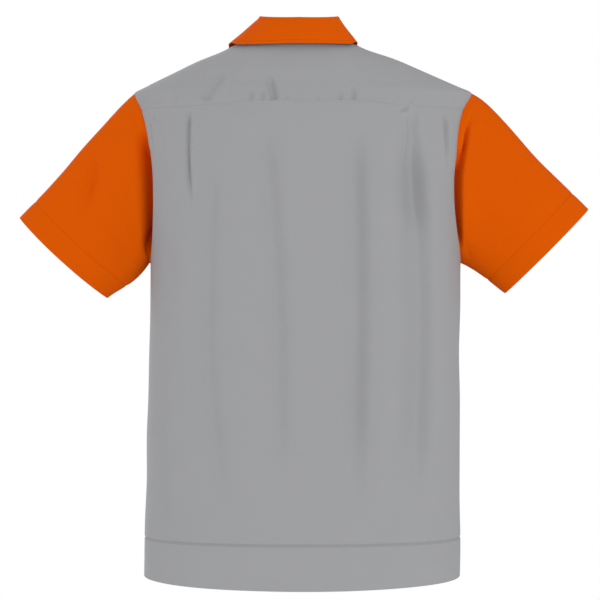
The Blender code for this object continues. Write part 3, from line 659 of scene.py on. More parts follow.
# %% [markdown]
# ## Cloth from a grid of points
# Every sheet starts as a grid of points on its outer side: rows along it, columns across it.  The
# steps between points are closer near an edge, where the cloth dips into its seam.  A Solidify
# modifier could give the sheet its thickness.  Here the faces are made directly, which keeps the grid
# for the stitches that follow it: the inner side lies one thickness behind the outer one, and narrow
# faces close the edges.  A UV map in metres follows the threads, so that the weave runs round the body
# as it is woven, not as it stands.

# %% Grids of points
EDGE_STEPS = (0.0, 0.0004, 0.0010, 0.0018, 0.0030, 0.0048)
Dip = namedtuple("Dip", "depth reach")   # how deep the cloth goes into a seam, and from how far


def spaced(length, pitch, fine_start=True, fine_end=True):
    """Shares of a length, from 0 to 1: even steps, and closer ones near the ends."""
    start = np.array(EDGE_STEPS if fine_start else (0.0,))
    end = length - np.array(EDGE_STEPS if fine_end else (0.0,))[::-1]
    count = max(int(round((end[0] - start[-1]) / pitch)), 2)
    between = np.linspace(start[-1], end[0], count + 1)[1:-1]
    return np.concatenate([start, between, end]) / length


def arc_lengths(points, axis):
    """Length along each row or column of a grid, from its start."""
    steps = np.linalg.norm(np.diff(points, axis=axis), axis=-1)
    none = np.zeros_like(np.take(steps, [0], axis=axis))
    return np.concatenate([none, np.cumsum(steps, axis=axis)], axis=axis)


def grid_normals(points, ring=False):
    """Normals of a grid whose columns run to the left, seen from outside, and whose rows run up."""
    if ring:
        across = np.roll(points, -1, axis=1) - np.roll(points, 1, axis=1)
    else:
        across = np.gradient(points, axis=1)
    return unit(np.cross(across, np.gradient(points, axis=0)))


def edge_dip(distance, dip):
    return -dip.depth * np.exp(-(distance / dip.reach) ** 2)


print("edge steps: {} down to {:.1f} mm".format(len(EDGE_STEPS), 1000.0 * EDGE_STEPS[1]))


# %% Faces and threads of a sheet
def sheet_faces(rows, columns, ring):
    """Quads of a closed sheet: its outer side, its inner side and the narrow faces at its edges."""
    count = rows * columns
    index = np.arange(count).reshape(rows, columns)
    right = np.roll(index, -1, axis=1) if ring else index[:, 1:]
    left = index if ring else index[:, :-1]
    outer = np.stack([left[:-1], right[:-1], right[1:], left[1:]], axis=-1).reshape(-1, 4)
    edges = [(right[0], left[0]), (left[-1], right[-1])]
    if not ring:
        edges += [(index[:-1, 0], index[1:, 0]), (index[1:, -1], index[:-1, -1])]
    narrow = [np.stack([one, two, two + count, one + count], axis=-1) for one, two in edges]
    return np.concatenate([outer, outer[:, ::-1] + count, *narrow])


def thread_corners(uv, faces, ring):
    """The thread map at each face's corners; round a ring it runs on past the join, not back to 0."""
    corners = np.concatenate([uv.reshape(-1, 2)] * 2)[faces]
    if ring:
        columns = uv.shape[1]
        span = np.ptp(uv[..., 0])
        girth = span * columns / (columns - 1)
        crossing = np.ptp(corners[..., 0], axis=1) > 0.5 * span
        wrapped = corners[crossing]
        behind = wrapped[..., 0] < wrapped[..., 0].max() - 0.5 * span
        wrapped[..., 0] += np.where(behind, girth, 0.0)
        corners[crossing] = wrapped
    return corners


print("faces of a small sheet:", len(sheet_faces(3, 3, False)))

# %% Sheets of cloth
CLOTH = 0.0007                 # thickness of one layer
SHARP_EDGE = math.radians(50.0)


def cloth_mesh(name, points, uv, ring=False, behind=None):
    """A closed sheet of cloth behind a grid of points; a ring is joined end to end."""
    if behind is None:
        behind = points - CLOTH * grid_normals(points, ring)
    verts = np.concatenate([points.reshape(-1, 3), behind.reshape(-1, 3)])
    faces = sheet_faces(*points.shape[:2], ring)
    mesh = bpy.data.meshes.new(name)
    mesh.vertices.add(len(verts))
    mesh.vertices.foreach_set("co", verts.astype(np.float32).ravel())
    mesh.loops.add(faces.size)
    mesh.loops.foreach_set("vertex_index", faces.astype(np.int32).ravel())
    mesh.polygons.add(len(faces))
    mesh.polygons.foreach_set("loop_start", np.arange(0, faces.size, 4, dtype=np.int32))
    mesh.update(calc_edges=True)
    mesh.validate()
    layer = mesh.uv_layers.new(name="threads")
    layer.data.foreach_set("uv", thread_corners(uv, faces, ring).astype(np.float32).ravel())
    return mesh


def add_piece(name, mesh):
    """Put a finished mesh in the scene, as a smooth piece that rides on the body."""
    mesh.shade_smooth()
    piece = bpy.data.objects.new(name, mesh)
    bpy.context.scene.collection.objects.link(piece)
    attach(piece, BODY)
    return piece


print("cloth: {:.1f} mm thick".format(1000.0 * CLOTH))

# %% [markdown]
# ## Weave and dye
# Both colours of cloth share one shader group.  It takes the thread map and gives a colour and a
# height for the bump.  The weave is a fine twill: slanted ribs, a little uneven, that can only be seen
# from close by.  Its colour follows the same height: painted shade in the weave's hollows and painted
# light on its ribs.  A picture of cloth could hold it too, but it would blur from close by, and its
# repeat would show.  The dye varies softly over wide patches.

# %% The weave
TWILL_PITCH = 0.00062          # metres between two ribs
THREAD_PITCH = 0.00045
RIB_HEIGHT = 0.6               # shares of the bump's height
THREAD_HEIGHT = 0.2
WANDER_SCALE = 180.0           # for each metre
WANDER = 1.2                   # how far, in radians, the ribs wander
FIBRE_SCALE = 2600.0
MOTTLE_SCALE = 22.0


def make_weave_group():
    """Colour and height of a twill cloth, from threads in metres."""
    group = bpy.data.node_groups.new("twill_cloth", "ShaderNodeTree")
    sockets = group.interface
    sockets.new_socket("Threads", in_out="INPUT", socket_type="NodeSocketVector")
    sockets.new_socket("Place", in_out="INPUT", socket_type="NodeSocketVector")
    sockets.new_socket("Dye", in_out="INPUT", socket_type="NodeSocketColor")
    for name, value in (("Mottle", 0.03), ("Rib Painted Shade", 0.08), ("Fibre Contrast", 0.05)):
        item = sockets.new_socket(name, in_out="INPUT", socket_type="NodeSocketFloat")
        item.default_value = value
    sockets.new_socket("Colour", in_out="OUTPUT", socket_type="NodeSocketColor")
    sockets.new_socket("Height", in_out="OUTPUT", socket_type="NodeSocketFloat")
    nodes = group.nodes
    links = group.links
    entry = nodes.new("NodeGroupInput")
    result = nodes.new("NodeGroupOutput")

    def work_out(operation, *values):
        """The output of a Math node; each value is a number or another node's output."""
        node = nodes.new("ShaderNodeMath")
        node.operation = operation
        for socket, value in zip(node.inputs, values):
            if isinstance(value, (int, float)):
                socket.default_value = value
            else:
                links.new(value, socket)
        return node.outputs[0]

    def noise(scale, detail):
        node = add_node(nodes, "ShaderNodeTexNoise", Scale=scale, Detail=detail)
        links.new(entry.outputs["Place"], node.inputs["Vector"])
        return node.outputs["Fac"]

    thread_map = nodes.new("ShaderNodeSeparateXYZ")
    links.new(entry.outputs["Threads"], thread_map.inputs[0])
    slant = work_out("ADD", thread_map.outputs["X"], thread_map.outputs["Y"])
    ribs = work_out("MULTIPLY", slant, FULL_TURN / TWILL_PITCH)
    drift = work_out("MULTIPLY", noise(WANDER_SCALE, 2.0), WANDER)
    rib = work_out("SINE", work_out("ADD", ribs, drift))
    thread = work_out("SINE", work_out("MULTIPLY", thread_map.outputs["Y"], FULL_TURN / THREAD_PITCH))
    woven = work_out("ADD", work_out("MULTIPLY", rib, RIB_HEIGHT),
                     work_out("MULTIPLY", thread, THREAD_HEIGHT))
    fibre = work_out("SUBTRACT", noise(FIBRE_SCALE, 2.0), 0.5)
    links.new(work_out("ADD", woven, fibre), result.inputs["Height"])

    patch = work_out("SUBTRACT", noise(MOTTLE_SCALE, 4.0), 0.5)
    shade = work_out("MULTIPLY", patch, entry.outputs["Mottle"])
    # painted shade and light: the colour darkens where the weave lies low and lightens on its ribs
    rib_painted_shade = work_out("MULTIPLY", woven, entry.outputs["Rib Painted Shade"])
    fibre_shade = work_out("MULTIPLY", fibre, entry.outputs["Fibre Contrast"])
    total = work_out("ADD", work_out("ADD", shade, rib_painted_shade), fibre_shade)
    scaled = nodes.new("ShaderNodeVectorMath")
    scaled.operation = "SCALE"
    links.new(entry.outputs["Dye"], scaled.inputs[0])
    links.new(work_out("ADD", total, 1.0), scaled.inputs["Scale"])
    links.new(scaled.outputs[0], result.inputs["Colour"])
    return group


weave_group = make_weave_group()
print("weave:", len(weave_group.nodes), "nodes")

# %% [markdown]
# The cloth is dull: rough, with little gloss and hardly any sheen.  The orange is so strong that any
# gloss would show as pale patches.  The thread that sews each cloth is its own colour made darker:
# painted shade for the shadow along the stitch lines.  The buttons are smooth grey plastic.

# %% Materials
CLOTH_ROUGHNESS = 0.88
SHEEN_ROUGHNESS = 0.5
BUMP_STRENGTH = 0.5
BUMP_DISTANCE = 0.00012
FULL_GLOSS = 0.5


def cloth_material(name, dye, gloss, sheen):
    material, shader = painted(name, dye, CLOTH_ROUGHNESS)
    shader.inputs["Specular IOR Level"].default_value = gloss
    shader.inputs["Sheen Weight"].default_value = sheen
    shader.inputs["Sheen Roughness"].default_value = SHEEN_ROUGHNESS
    nodes = material.node_tree.nodes
    links = material.node_tree.links
    weave = nodes.new("ShaderNodeGroup")
    weave.node_tree = weave_group
    weave.inputs["Dye"].default_value = dye
    threads = nodes.new("ShaderNodeUVMap")
    threads.uv_map = "threads"
    place = nodes.new("ShaderNodeTexCoord")
    bump = add_node(nodes, "ShaderNodeBump", Strength=BUMP_STRENGTH, Distance=BUMP_DISTANCE)
    links.new(threads.outputs["UV"], weave.inputs["Threads"])
    links.new(place.outputs["Object"], weave.inputs["Place"])
    links.new(weave.outputs["Colour"], shader.inputs["Base Color"])
    links.new(weave.outputs["Height"], bump.inputs["Height"])
    links.new(bump.outputs["Normal"], shader.inputs["Normal"])
    return material


def plain_material(name, colour, roughness):
    """Thread or plastic: the rougher it is, the less gloss it has."""
    material, shader = painted(name, colour, roughness)
    shader.inputs["Specular IOR Level"].default_value = min(FULL_GLOSS, 1.0 - roughness)
    return material


grey = cloth_material("grey_twill", (0.335, 0.337, 0.350, 1.0), gloss=0.20, sheen=0.04)
orange = cloth_material("orange_twill", (0.700, 0.096, 0.0, 1.0), gloss=0.04, sheen=0.0)
# painted shade: the threads are darker than their cloth, standing for the shadow along the stitch
# lines
grey_thread_with_painted_shade = plain_material("grey_thread_with_painted_shade", (0.30, 0.30, 0.315, 1.0), roughness=0.85)
orange_thread_with_painted_shade = plain_material("orange_thread_with_painted_shade", (0.46, 0.056, 0.0, 1.0), roughness=0.95)
button_plastic = plain_material("button_plastic", (0.270, 0.272, 0.285, 1.0), roughness=0.32)
print("materials:", ", ".join(item.name for item in bpy.data.materials))

# %% [markdown]
# ## The body's pieces
# On the real shirt the back, the yoke and the front are cut flat and sewn together.  Here each is a
# grid on the body's form.  A half panel's places are mirrored to the whole width, and the columns lie
# closer across the tucks.  The side edges stop half a gap short of the side line, so that no two
# sheets touch.

# %% Rows and columns of a panel
PITCH = 0.0034
LONG_PITCH = 0.0060            # down the stretch below the armholes, where the folds run straight
FINE_PITCH = 0.0013            # across the tucks, and down the cloth that puckers under the yoke
YOKE_PITCH = 0.0018
TUCK_SHARES = (0.37, 0.55)
PUCKER_SHARES = (0.84, 0.975)
HALF_GIRTH = 0.29
PANEL_GAP = 0.0001             # between two sheets at a seam


def with_fine_band(steps, length, low, high):
    """The same steps, but fine ones between two shares of the length."""
    count = int((high - low) * length / FINE_PITCH)
    outside = steps[(steps < low) | (steps > high)]
    return np.sort(np.concatenate([outside, np.linspace(low, high, count + 1)]))


def column_shares(pitch, fine_band=None):
    """Shares across a whole panel, from -1 at its right side to 1 at its left side."""
    half = spaced(HALF_GIRTH, pitch, fine_start=False)
    if fine_band is not None:
        half = with_fine_band(half, HALF_GIRTH, *fine_band)
    return np.concatenate([-half[:0:-1], half])


def panel_angles(places, signed_shares, side):
    """Angles on the whole body and heights, from places of a half panel."""
    from_centre, height = places
    from_centre, height = np.broadcast_arrays(from_centre, height)
    form = section_at(height)
    depth = form.back - form.ridge if side > 0 else form.ridge - form.front
    from_centre = np.minimum(from_centre, QUARTER - 0.5 * PANEL_GAP / depth)
    left = np.where(signed_shares < 0.0, -1.0, 1.0)
    return left * (from_centre if side > 0 else math.pi - from_centre), height


def panel_points(rows, signed_shares, side):
    """Points and normals of whole rows, given as places of a half panel."""
    angles, heights = zip(*(panel_angles(row, signed_shares, side) for row in rows))
    angles = np.array(angles)
    heights = np.array(heights)
    return skin_point(angles, heights), skin_normal(angles, heights)


print("columns of the back:", len(column_shares(PITCH, TUCK_SHARES)))

# %% [markdown]
# Each sheet rides on the body and takes the place of its node's wall.  The lengths of its rows and
# columns are printed: they say how large the piece was cut.

# %% Sheets that stand for a node
Sheet = namedtuple("Sheet", "piece area")
LENGTH_SHARES = (10, 50, 90)   # per cent of the rows and columns that are shorter than those printed


def add_cloth(node, points, material, ring=False, behind=None):
    """Make the sheet that stands for a node."""
    name = node + "_cloth"
    across = arc_lengths(points, 1)
    if not ring:
        across = across - across[:, points.shape[1] // 2][:, None]
    uv = np.stack([across, arc_lengths(points, 0)], axis=-1)
    mesh = cloth_mesh(name, points, uv, ring, behind)
    mesh.materials.append(material)
    piece = add_piece(name, mesh)
    mesh.set_sharp_from_angle(angle=SHARP_EDGE)
    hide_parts(node)
    if ring:
        across = arc_lengths(np.concatenate([points, points[:, :1]], axis=1), 1)
    sizes = [1000.0 * value for grid in (np.ptp(across, axis=1), arc_lengths(points, 0)[-1])
             for value in np.percentile(grid, LENGTH_SHARES)]
    print(name + ": rows {:.0f}/{:.0f}/{:.0f} mm long, columns {:.0f}/{:.0f}/{:.0f} mm".format(*sizes))


# %% [markdown]
# Each piece gets the large folds, its own creases, the soft unevenness, and a dip where its edges go
# into their seams.  Beside the armholes the body's cloth is also drawn in with the seam: in a short
# step right at the edge, and a little in a longer slope.

# %% Dips at the seams
BAND_DIP = Dip(0.0017, 0.0015)
YOKE_DIP = Dip(0.0004, 0.0024)
ARMHOLE_DIP = Dip(0.0018, 0.0038)
SIDE_DIP = Dip(0.0007, 0.0013)
SHOULDER_DIP = Dip(0.0004, 0.0015)
ARMHOLE_BLEND = 0.012          # height over which the side seam's dip turns into the armhole's
SHOULDER_BLEND = 0.040         # and over which that one fades in below the shoulder
PULLS = (                      # share of the seam's drop, and how far from the seam it reaches
    (0.75, 0.0016),
    (0.25, 0.0068),
)


def armhole_dip(points, distance):
    """The dip into an armhole seam, which flattens out towards the shoulder and the underarm."""
    z = points[..., 2]
    strength = (smooth_step((z - UNDERARM) / ARMHOLE_BLEND)
                * smooth_step((SHOULDER_TIP - z) / SHOULDER_BLEND))
    return strength * edge_dip(distance, ARMHOLE_DIP)


def side_relief(points, across):
    """Dips at the side edges: into the armhole seams and down the side seams."""
    below = 1.0 - smooth_step((points[..., 2] - UNDERARM) / ARMHOLE_BLEND)
    relief = 0.0
    for distance in (across, across[:, -1:] - across):
        relief = relief + below * edge_dip(distance, SIDE_DIP) + armhole_dip(points, distance)
        pull = sum(share * np.exp(-(distance / reach) ** 2) for share, reach in PULLS)
        relief = relief - seam_drop(points) * pull
    return relief


def sewn_panel(name, rows, shares, side, creases, bottom_dip, top_dip):
    """A panel with its relief; the dips are those of its bottom and top edges."""
    points, normals = panel_points(rows, shares, side)
    up = arc_lengths(points, 0)
    across = arc_lengths(points, 1)
    relief = crease_relief(points, creases) + unevenness(points)
    relief += edge_dip(up, bottom_dip) + edge_dip(up[-1] - up, top_dip)
    relief += side_relief(points, across)
    points = points + relief[..., None] * normals
    if side > 0:                   # the columns run to the right as seen from outside
        points = points[:, ::-1]
    add_cloth(name, points, grey)
    return points


print("deepest dip: {:.1f} mm, at the armholes".format(1000.0 * ARMHOLE_DIP.depth))

# %% Back
back_shares = column_shares(PITCH, TUCK_SHARES)
positive = np.abs(back_shares)
lower_steps = spaced(UNDERARM - BAND_SEAM, LONG_PITCH, fine_end=False)
upper_steps = spaced(YOKE_CENTRE - UNDERARM, PITCH, fine_start=False)
upper_steps = with_fine_band(upper_steps, YOKE_CENTRE - UNDERARM, *PUCKER_SHARES)
back_rows = [lower_place(positive, up) for up in lower_steps[:-1]]
back_rows += [back_place(positive, up) for up in upper_steps]
back_points = sewn_panel("back", back_rows, back_shares, 1, BACK_CREASES, BAND_DIP, YOKE_DIP)
print("back: {} rows of {} points".format(*back_points.shape))

# %% [markdown]
# The yoke is the piece over both shoulders.  Its lower edge meets the back along an arched seam, where
# both dip a little.  The front runs in one piece from its band up to the neckline and the shoulder
# seams.

# %% Yoke and front
YOKE_DEPTH = 0.088
FRONT_HEIGHT = 0.245
yoke_shares = column_shares(YOKE_PITCH)
yoke_rows = [yoke_place(np.abs(yoke_shares), up) for up in spaced(YOKE_DEPTH, YOKE_PITCH)]
yoke_points = sewn_panel("yoke", yoke_rows, yoke_shares, 1, YOKE_CREASES, YOKE_DIP, SHOULDER_DIP)
front_shares = column_shares(PITCH)
positive = np.abs(front_shares)
front_rows = [lower_place(positive, up) for up in lower_steps[:-1]]
front_rows += [front_place(positive, up)
               for up in spaced(FRONT_HEIGHT, PITCH, fine_start=False)]
front_points = sewn_panel("front", front_rows, front_shares, -1, FRONT_CREASES,
                          BAND_DIP, SHOULDER_DIP)
for name, points in (("yoke", yoke_points), ("front", front_points)):
    print("{}: {} rows of {} points".format(name, *points.shape))

# %% [markdown]
# ## Turned hems
# The bands at the bottom and the ends of the sleeves are double.  The cloth runs down the outside,
# rolls over at the hem and runs up again inside, so the edge is round and full, as a turned hem is.
# One profile serves all of them: how far down and how far in each row of the grid lies.

# %% Turned hems
ROLL_RADIUS = 0.0009
ROLL_STEPS = 6
STITCH_ROWS = np.linspace(-0.003, 0.003, 11)   # closer rows where the hem is stitched


def turned_profile(length, inside, stitched=False, seam_rows=()):
    """Outer run, roll and inner run of a turned hem: pairs of distance down and distance in."""
    run = (length - ROLL_RADIUS) * spaced(length, PITCH, fine_end=False)
    if len(seam_rows):
        run = np.concatenate([run[run < seam_rows[0]], seam_rows,
                              run[run > seam_rows[-1] + 0.5 * PITCH]])
    if stitched:
        near = length - inside
        run = run[np.abs(run - near) > STITCH_ROWS[-1] + 0.5 * PITCH]
        run = np.sort(np.concatenate([run, near + STITCH_ROWS]))
    turn = np.linspace(0.0, math.pi, ROLL_STEPS + 1)[1:]
    back = np.linspace(length - ROLL_RADIUS, length - inside, int(inside / PITCH) + 2)[1:]
    down = np.concatenate([run, length - ROLL_RADIUS + ROLL_RADIUS * np.sin(turn), back])
    depth = np.concatenate([np.zeros_like(run), ROLL_RADIUS * (1.0 - np.cos(turn)),
                            np.full_like(back, 2.0 * ROLL_RADIUS)])
    return down, depth


print("hem's roll: {:.1f} mm across".format(2000.0 * ROLL_RADIUS))

# %% [markdown]
# The hem hangs a little lower at the centre back than at the sides, as the photograph shows.  The
# front's hem is level.

# %% Hem bands
HEM_SIDE = -0.7545
HEM_BACK_DIP = 0.0076
INNER_STOP = 0.002             # how far below the seam the inside layer ends


def back_hem(share):
    return HEM_SIDE - HEM_BACK_DIP * np.cos(share * QUARTER) ** 2


def front_hem(share):
    return HEM_SIDE + 0.0 * share


def hem_band(name, hem_height, shares, side):
    """A band from its seam round the hem and up again inside."""
    signless = np.abs(shares)
    hem = hem_height(signless)
    length = float(BAND_SEAM - 0.5 * PANEL_GAP - hem.mean())
    down, depth = turned_profile(length, length - INNER_STOP)
    rows = [(signless * QUARTER, BAND_SEAM - 0.5 * PANEL_GAP + (hem - BAND_SEAM) * share)
            for share in down / length]
    points, normals = panel_points(rows, shares, side)
    across = arc_lengths(points, 1)
    relief = unevenness(points) - depth[:, None]
    outside = (depth == 0.0)[:, None]
    relief += np.where(outside, edge_dip(down[:, None] + 0.0 * across, BAND_DIP), 0.0)
    relief += edge_dip(across, SIDE_DIP) + edge_dip(across[:, -1:] - across, SIDE_DIP)
    points = points + relief[..., None] * normals
    points = points[::-1]          # rows run from the inside's top round the hem and up the outside
    if side > 0:
        points = points[:, ::-1]
    add_cloth(name, points, grey)
    return points


back_band = hem_band("hem_band_back", back_hem, back_shares, 1)
front_band = hem_band("hem_band_front", front_hem, front_shares, -1)
print("bands: {} and {} rows".format(len(back_band), len(front_band)))

# %% [markdown]
# ## Sleeves
# A set-in sleeve is a short tube sewn into its armhole.  It could be a bent cylinder, but its seam
# would then miss the armhole.  So each line of it starts on the armhole along the body's own surface,
# and bends down to its cuff, an oval that stands clear of the body.  Its head swells a little, and its
# underside sags.  Deep troughs run down beside both armholes, where the cloth of a hanging sleeve
# folds in.

# %% The form of the sleeves
Sleeve = namedtuple("Sleeve", "name side top_x top_z bottom_x bottom_z bow head sag back front")
SLEEVES = (
    Sleeve("sleeve_left", +1, 0.4068, -0.2446, 0.2816, -0.3594, 0.0035, 0.0022, 0.040,
           LEFT_SLEEVE_BACK, LEFT_SLEEVE_FRONT),
    Sleeve("sleeve_right", -1, 0.4072, -0.2322, 0.2880, -0.3524, 0.0000, 0.0050, -0.016,
           RIGHT_SLEEVE_BACK, RIGHT_SLEEVE_FRONT),
)
CUFF_HALF_DEPTH = 0.039
SLEEVE_SPRING = 0.060          # how far the cloth follows the body before it turns down the sleeve
SPRING_SHARE = 0.4             # share by which it heads less straight for the cuff meanwhile
SWELL_POWER = 5                # the higher, the closer to the seam the head swells
SWELL_SCALE = (SWELL_POWER + 1) ** (SWELL_POWER + 1) / SWELL_POWER ** SWELL_POWER
EDGE_STEP = 0.02               # step round an armhole from which the seam's direction is measured


def armhole_edge(side, turn):
    """Points, ways into the hole and the body's normals, round an armhole."""
    def place(at):
        from_centre, height = armhole_place(at)
        angle = np.where(np.sin(at) >= 0.0, from_centre, math.pi - from_centre)
        return side * angle, height

    here = skin_point(*place(turn))
    normal = skin_normal(*place(turn))
    tangent = skin_point(*place(turn + EDGE_STEP)) - skin_point(*place(turn - EDGE_STEP))
    inward = unit(np.cross(normal, tangent))
    middle = body_point(side * QUARTER, ARMHOLE_MIDDLE)
    inwards = np.where((inward * (middle - here)).sum(axis=-1, keepdims=True) < 0.0, -1.0, 1.0)
    return here, inward * inwards, normal


def sleeve_point(sleeve, edge, turn, along):
    """Outer points of a sleeve, from its armhole (along 0) to its cuff (along 1)."""
    seam, inward, _ = edge
    start = seam + PANEL_GAP * inward
    top = np.array((sleeve.side * sleeve.top_x, 0.0, sleeve.top_z))
    bottom = np.array((sleeve.side * sleeve.bottom_x, 0.0, sleeve.bottom_z))
    cosine = np.cos(turn)[..., None]
    sine = np.sin(turn)[..., None]
    along = np.asarray(along)[..., None]
    end = (top + bottom) / 2.0 + (top - bottom) / 2.0 * cosine
    end = end + np.array((0.0, CUFF_HALF_DEPTH, 0.0)) * sine
    outward = unit(np.cross(bottom - top, (0.0, 1.0, 0.0))) * sleeve.side
    end = end + outward * sleeve.bow * sine ** 2
    reach = end - start
    leave = reach * (1.0 - SPRING_SHARE * sine ** 2) + inward * SLEEVE_SPRING * sine ** 2
    leave = leave - np.array((0.0, 0.0, sleeve.sag)) * np.maximum(-cosine, 0.0) ** 2
    rise = along * along * (3.0 - 2.0 * along)
    point = (start * (1.0 - rise) + end * rise + leave * along * (1.0 - along) ** 2
             + reach * along * along * (along - 1.0))
    swell = SWELL_SCALE * along * (1.0 - along) ** SWELL_POWER * np.maximum(cosine, 0.0) ** 2
    return point + unit(top - bottom) * sleeve.head * swell


print("cuffs: {:.0f} and {:.0f} mm wide".format(*(1000.0 * math.hypot(
    sleeve.top_x - sleeve.bottom_x, sleeve.top_z - sleeve.bottom_z) for sleeve in SLEEVES)))

# %% [markdown]
# The sleeve's hem is stitched down 33 mm above its edge.  The stitches press a narrow groove into the
# cloth all round.  The rows of the grid lie closer there, and where the troughs run at the armhole.

# %% Rows and relief of a sleeve
SLEEVE_TURNS = 210
SLEEVE_HEM = 0.0326
HEM_MARGIN = 0.006
SEAM_ROWS = np.arange(0.0058, 0.0200, 0.0011)
SWEEP = np.linspace(0.0, 1.0, 41)      # shares of the way at which a sleeve's length is measured
AHEAD = 0.004                  # share of the way from which its direction is measured
NORMAL_BLEND = 0.008           # where the relief turns from the body's normals to the sleeve's own
SEAM_CLEAR = 0.0014            # how far from the armhole seam the sleeve's creases begin
TROUGH_REACH = 0.0080          # how far from the seam the sleeve is drawn in with it
STITCH_GROOVE = Dip(0.0007, 0.0028)


def sleeve_shares(lengths, down, length):
    """How far along the sleeve each row lies, for each column.

    The hem keeps its depth all round; only the cloth above it is longer or shorter.
    """
    above = length - SLEEVE_HEM - HEM_MARGIN
    shares = []
    for column in lengths.T:
        longer = column[-1] - length
        place = np.where(down > above, down + longer, down * (above + longer) / above)
        shares.append(np.interp(place, column, SWEEP))
    return np.array(shares).T


def sleeve_relief(sleeve, rows, down, depth, length):
    """Creases, troughs, dips and the roll of the hem."""
    outside = (depth == 0.0)[:, None]
    from_seam = down[:, None] + np.zeros(SLEEVE_TURNS)
    to_stitches = (length - down)[:, None] - SLEEVE_HEM
    is_back = rows[..., 1] > 0.0
    relief = np.where(is_back, crease_relief(rows, sleeve.back), crease_relief(rows, sleeve.front))
    relief = relief * smooth_step(from_seam / SEAM_CLEAR) + unevenness(rows)
    relief -= seam_drop(rows[:1]) * np.exp(-(from_seam / TROUGH_REACH) ** 2)
    seams = armhole_dip(rows[:1], from_seam) + edge_dip(to_stitches, STITCH_GROOVE)
    return relief + np.where(outside, seams, 0.0) - depth[:, None]


print("closer rows at the armhole:", len(SEAM_ROWS))


# %% Left and right sleeve
def make_sleeve(sleeve):
    turns = np.linspace(0.0, FULL_TURN, SLEEVE_TURNS, endpoint=False)
    if sleeve.side < 0:            # the columns run to the left as seen from outside
        turns = turns[::-1]
    edge = armhole_edge(sleeve.side, turns)

    def points_at(shares):
        return np.array([sleeve_point(sleeve, edge, turns, row) for row in shares])

    lengths = arc_lengths(points_at(np.tile(SWEEP[:, None], SLEEVE_TURNS)), 0)
    length = float(lengths[-1].mean())
    down, depth = turned_profile(length, SLEEVE_HEM, stitched=True, seam_rows=SEAM_ROWS)
    shares = sleeve_shares(lengths, down, length)
    rows = points_at(shares)
    ahead = np.minimum(shares + AHEAD, 1.0)
    around = np.roll(rows, -1, axis=1) - np.roll(rows, 1, axis=1)
    normals = unit(np.cross(around, points_at(ahead - 2.0 * AHEAD) - points_at(ahead)))
    own = smooth_step(down / NORMAL_BLEND)[:, None, None]
    blended = unit(edge[2] * (1.0 - own) + normals * own)
    normals = np.where((depth == 0.0)[:, None, None], blended, normals)
    relief = sleeve_relief(sleeve, rows, down, depth, length)
    points = (rows + relief[..., None] * normals)[::-1]
    add_cloth(sleeve.name, points, orange, ring=True)
    print("{}: {:.0f} mm long, {} rows of {}".format(sleeve.name, 1000.0 * length, *points.shape))
    return points


sleeve_grids = {sleeve.name: make_sleeve(sleeve) for sleeve in SLEEVES}

# %% [markdown]
# ## Collar
# The collar stands up round the neck, folds over in a small half circle and lies down again as a
# leaf.  It could be folded from a flat piece, but its points have to lie where they do on the shirt.
# So a table gives its shape from the centre back to its points at the front: how far the fold rises
# over the neck seam and leans in, and where the leaf's edge lies on the body.

# %% The form of the collar
Collar = namedtuple("Collar", "around rise inset across height lift bow")
COLLAR = (
    Collar(0.0, 0.035, 0.009, 0.0000, -0.0092, 0.0090, 0.003),
    Collar(30.0, 0.034, 0.010, 0.0470, -0.0085, 0.0070, 0.003),
    Collar(60.0, 0.033, 0.015, 0.0790, -0.0065, 0.0045, 0.001),
    Collar(90.0, 0.031, 0.020, 0.0930, -0.0035, 0.0030, 0.000),
    Collar(120.0, 0.028, 0.013, 0.0880, -0.0320, 0.0035, 0.002),
    Collar(150.0, 0.026, 0.008, 0.0700, -0.0640, 0.0035, 0.003),
    Collar(177.0, 0.025, 0.004, 0.0420, -0.0940, 0.0040, 0.003),
)
COLLAR_COLUMNS = list(zip(*COLLAR))
NECK_STEP = 0.03               # step round the neck from which the seam's direction is measured
SEAM_GAP = 0.0003              # between the collar or the placket and the cloth below


def neck_edge(around):
    """Points, normals and ways up into the neck hole, round the whole neckline."""
    def place(at):
        back = np.cos(at) > 0.0
        left = np.where(np.sin(at) >= 0.0, 1.0, -1.0)
        quarter = np.arcsin(np.clip(np.abs(np.sin(at)), 0.0, 1.0))
        across, high = neckline_place(quarter, 1)
        height = np.where(back, high, neckline_place(quarter, -1)[1])
        angle = angle_from_centre(across, height)
        return left * np.where(back, angle, math.pi - angle), height

    here = skin_point(*place(around))
    normal = skin_normal(*place(around))
    tangent = skin_point(*place(around + NECK_STEP)) - skin_point(*place(around - NECK_STEP))
    inward = unit(np.cross(normal, tangent))
    return here, normal, np.where(inward[:, 2:] < 0.0, -inward, inward)


neck = neck_edge(np.linspace(0.0, FULL_TURN, GIRTH_STEPS))[0]
print("neck: {:.0f} mm round".format(1000.0 * np.linalg.norm(np.diff(neck, axis=0), axis=1).sum()))

# %% [markdown]
# The collar is first made as a surface without thickness, in its middle.

# %% Middle surface of the collar
COLLAR_WALL = 0.0015
COLLAR_FOLD_RADIUS = 0.0028
COLLAR_LEAN = (-0.005, 0.0, 0.0)       # the fold lies a little to the right of the neck
RIGHT_LEAF = 0.927             # share of the left leaf's width that the right one has
STAND_ROWS = 8
FOLD_ROWS = 11
UP = np.array((0.0, 0.0, 1.0))


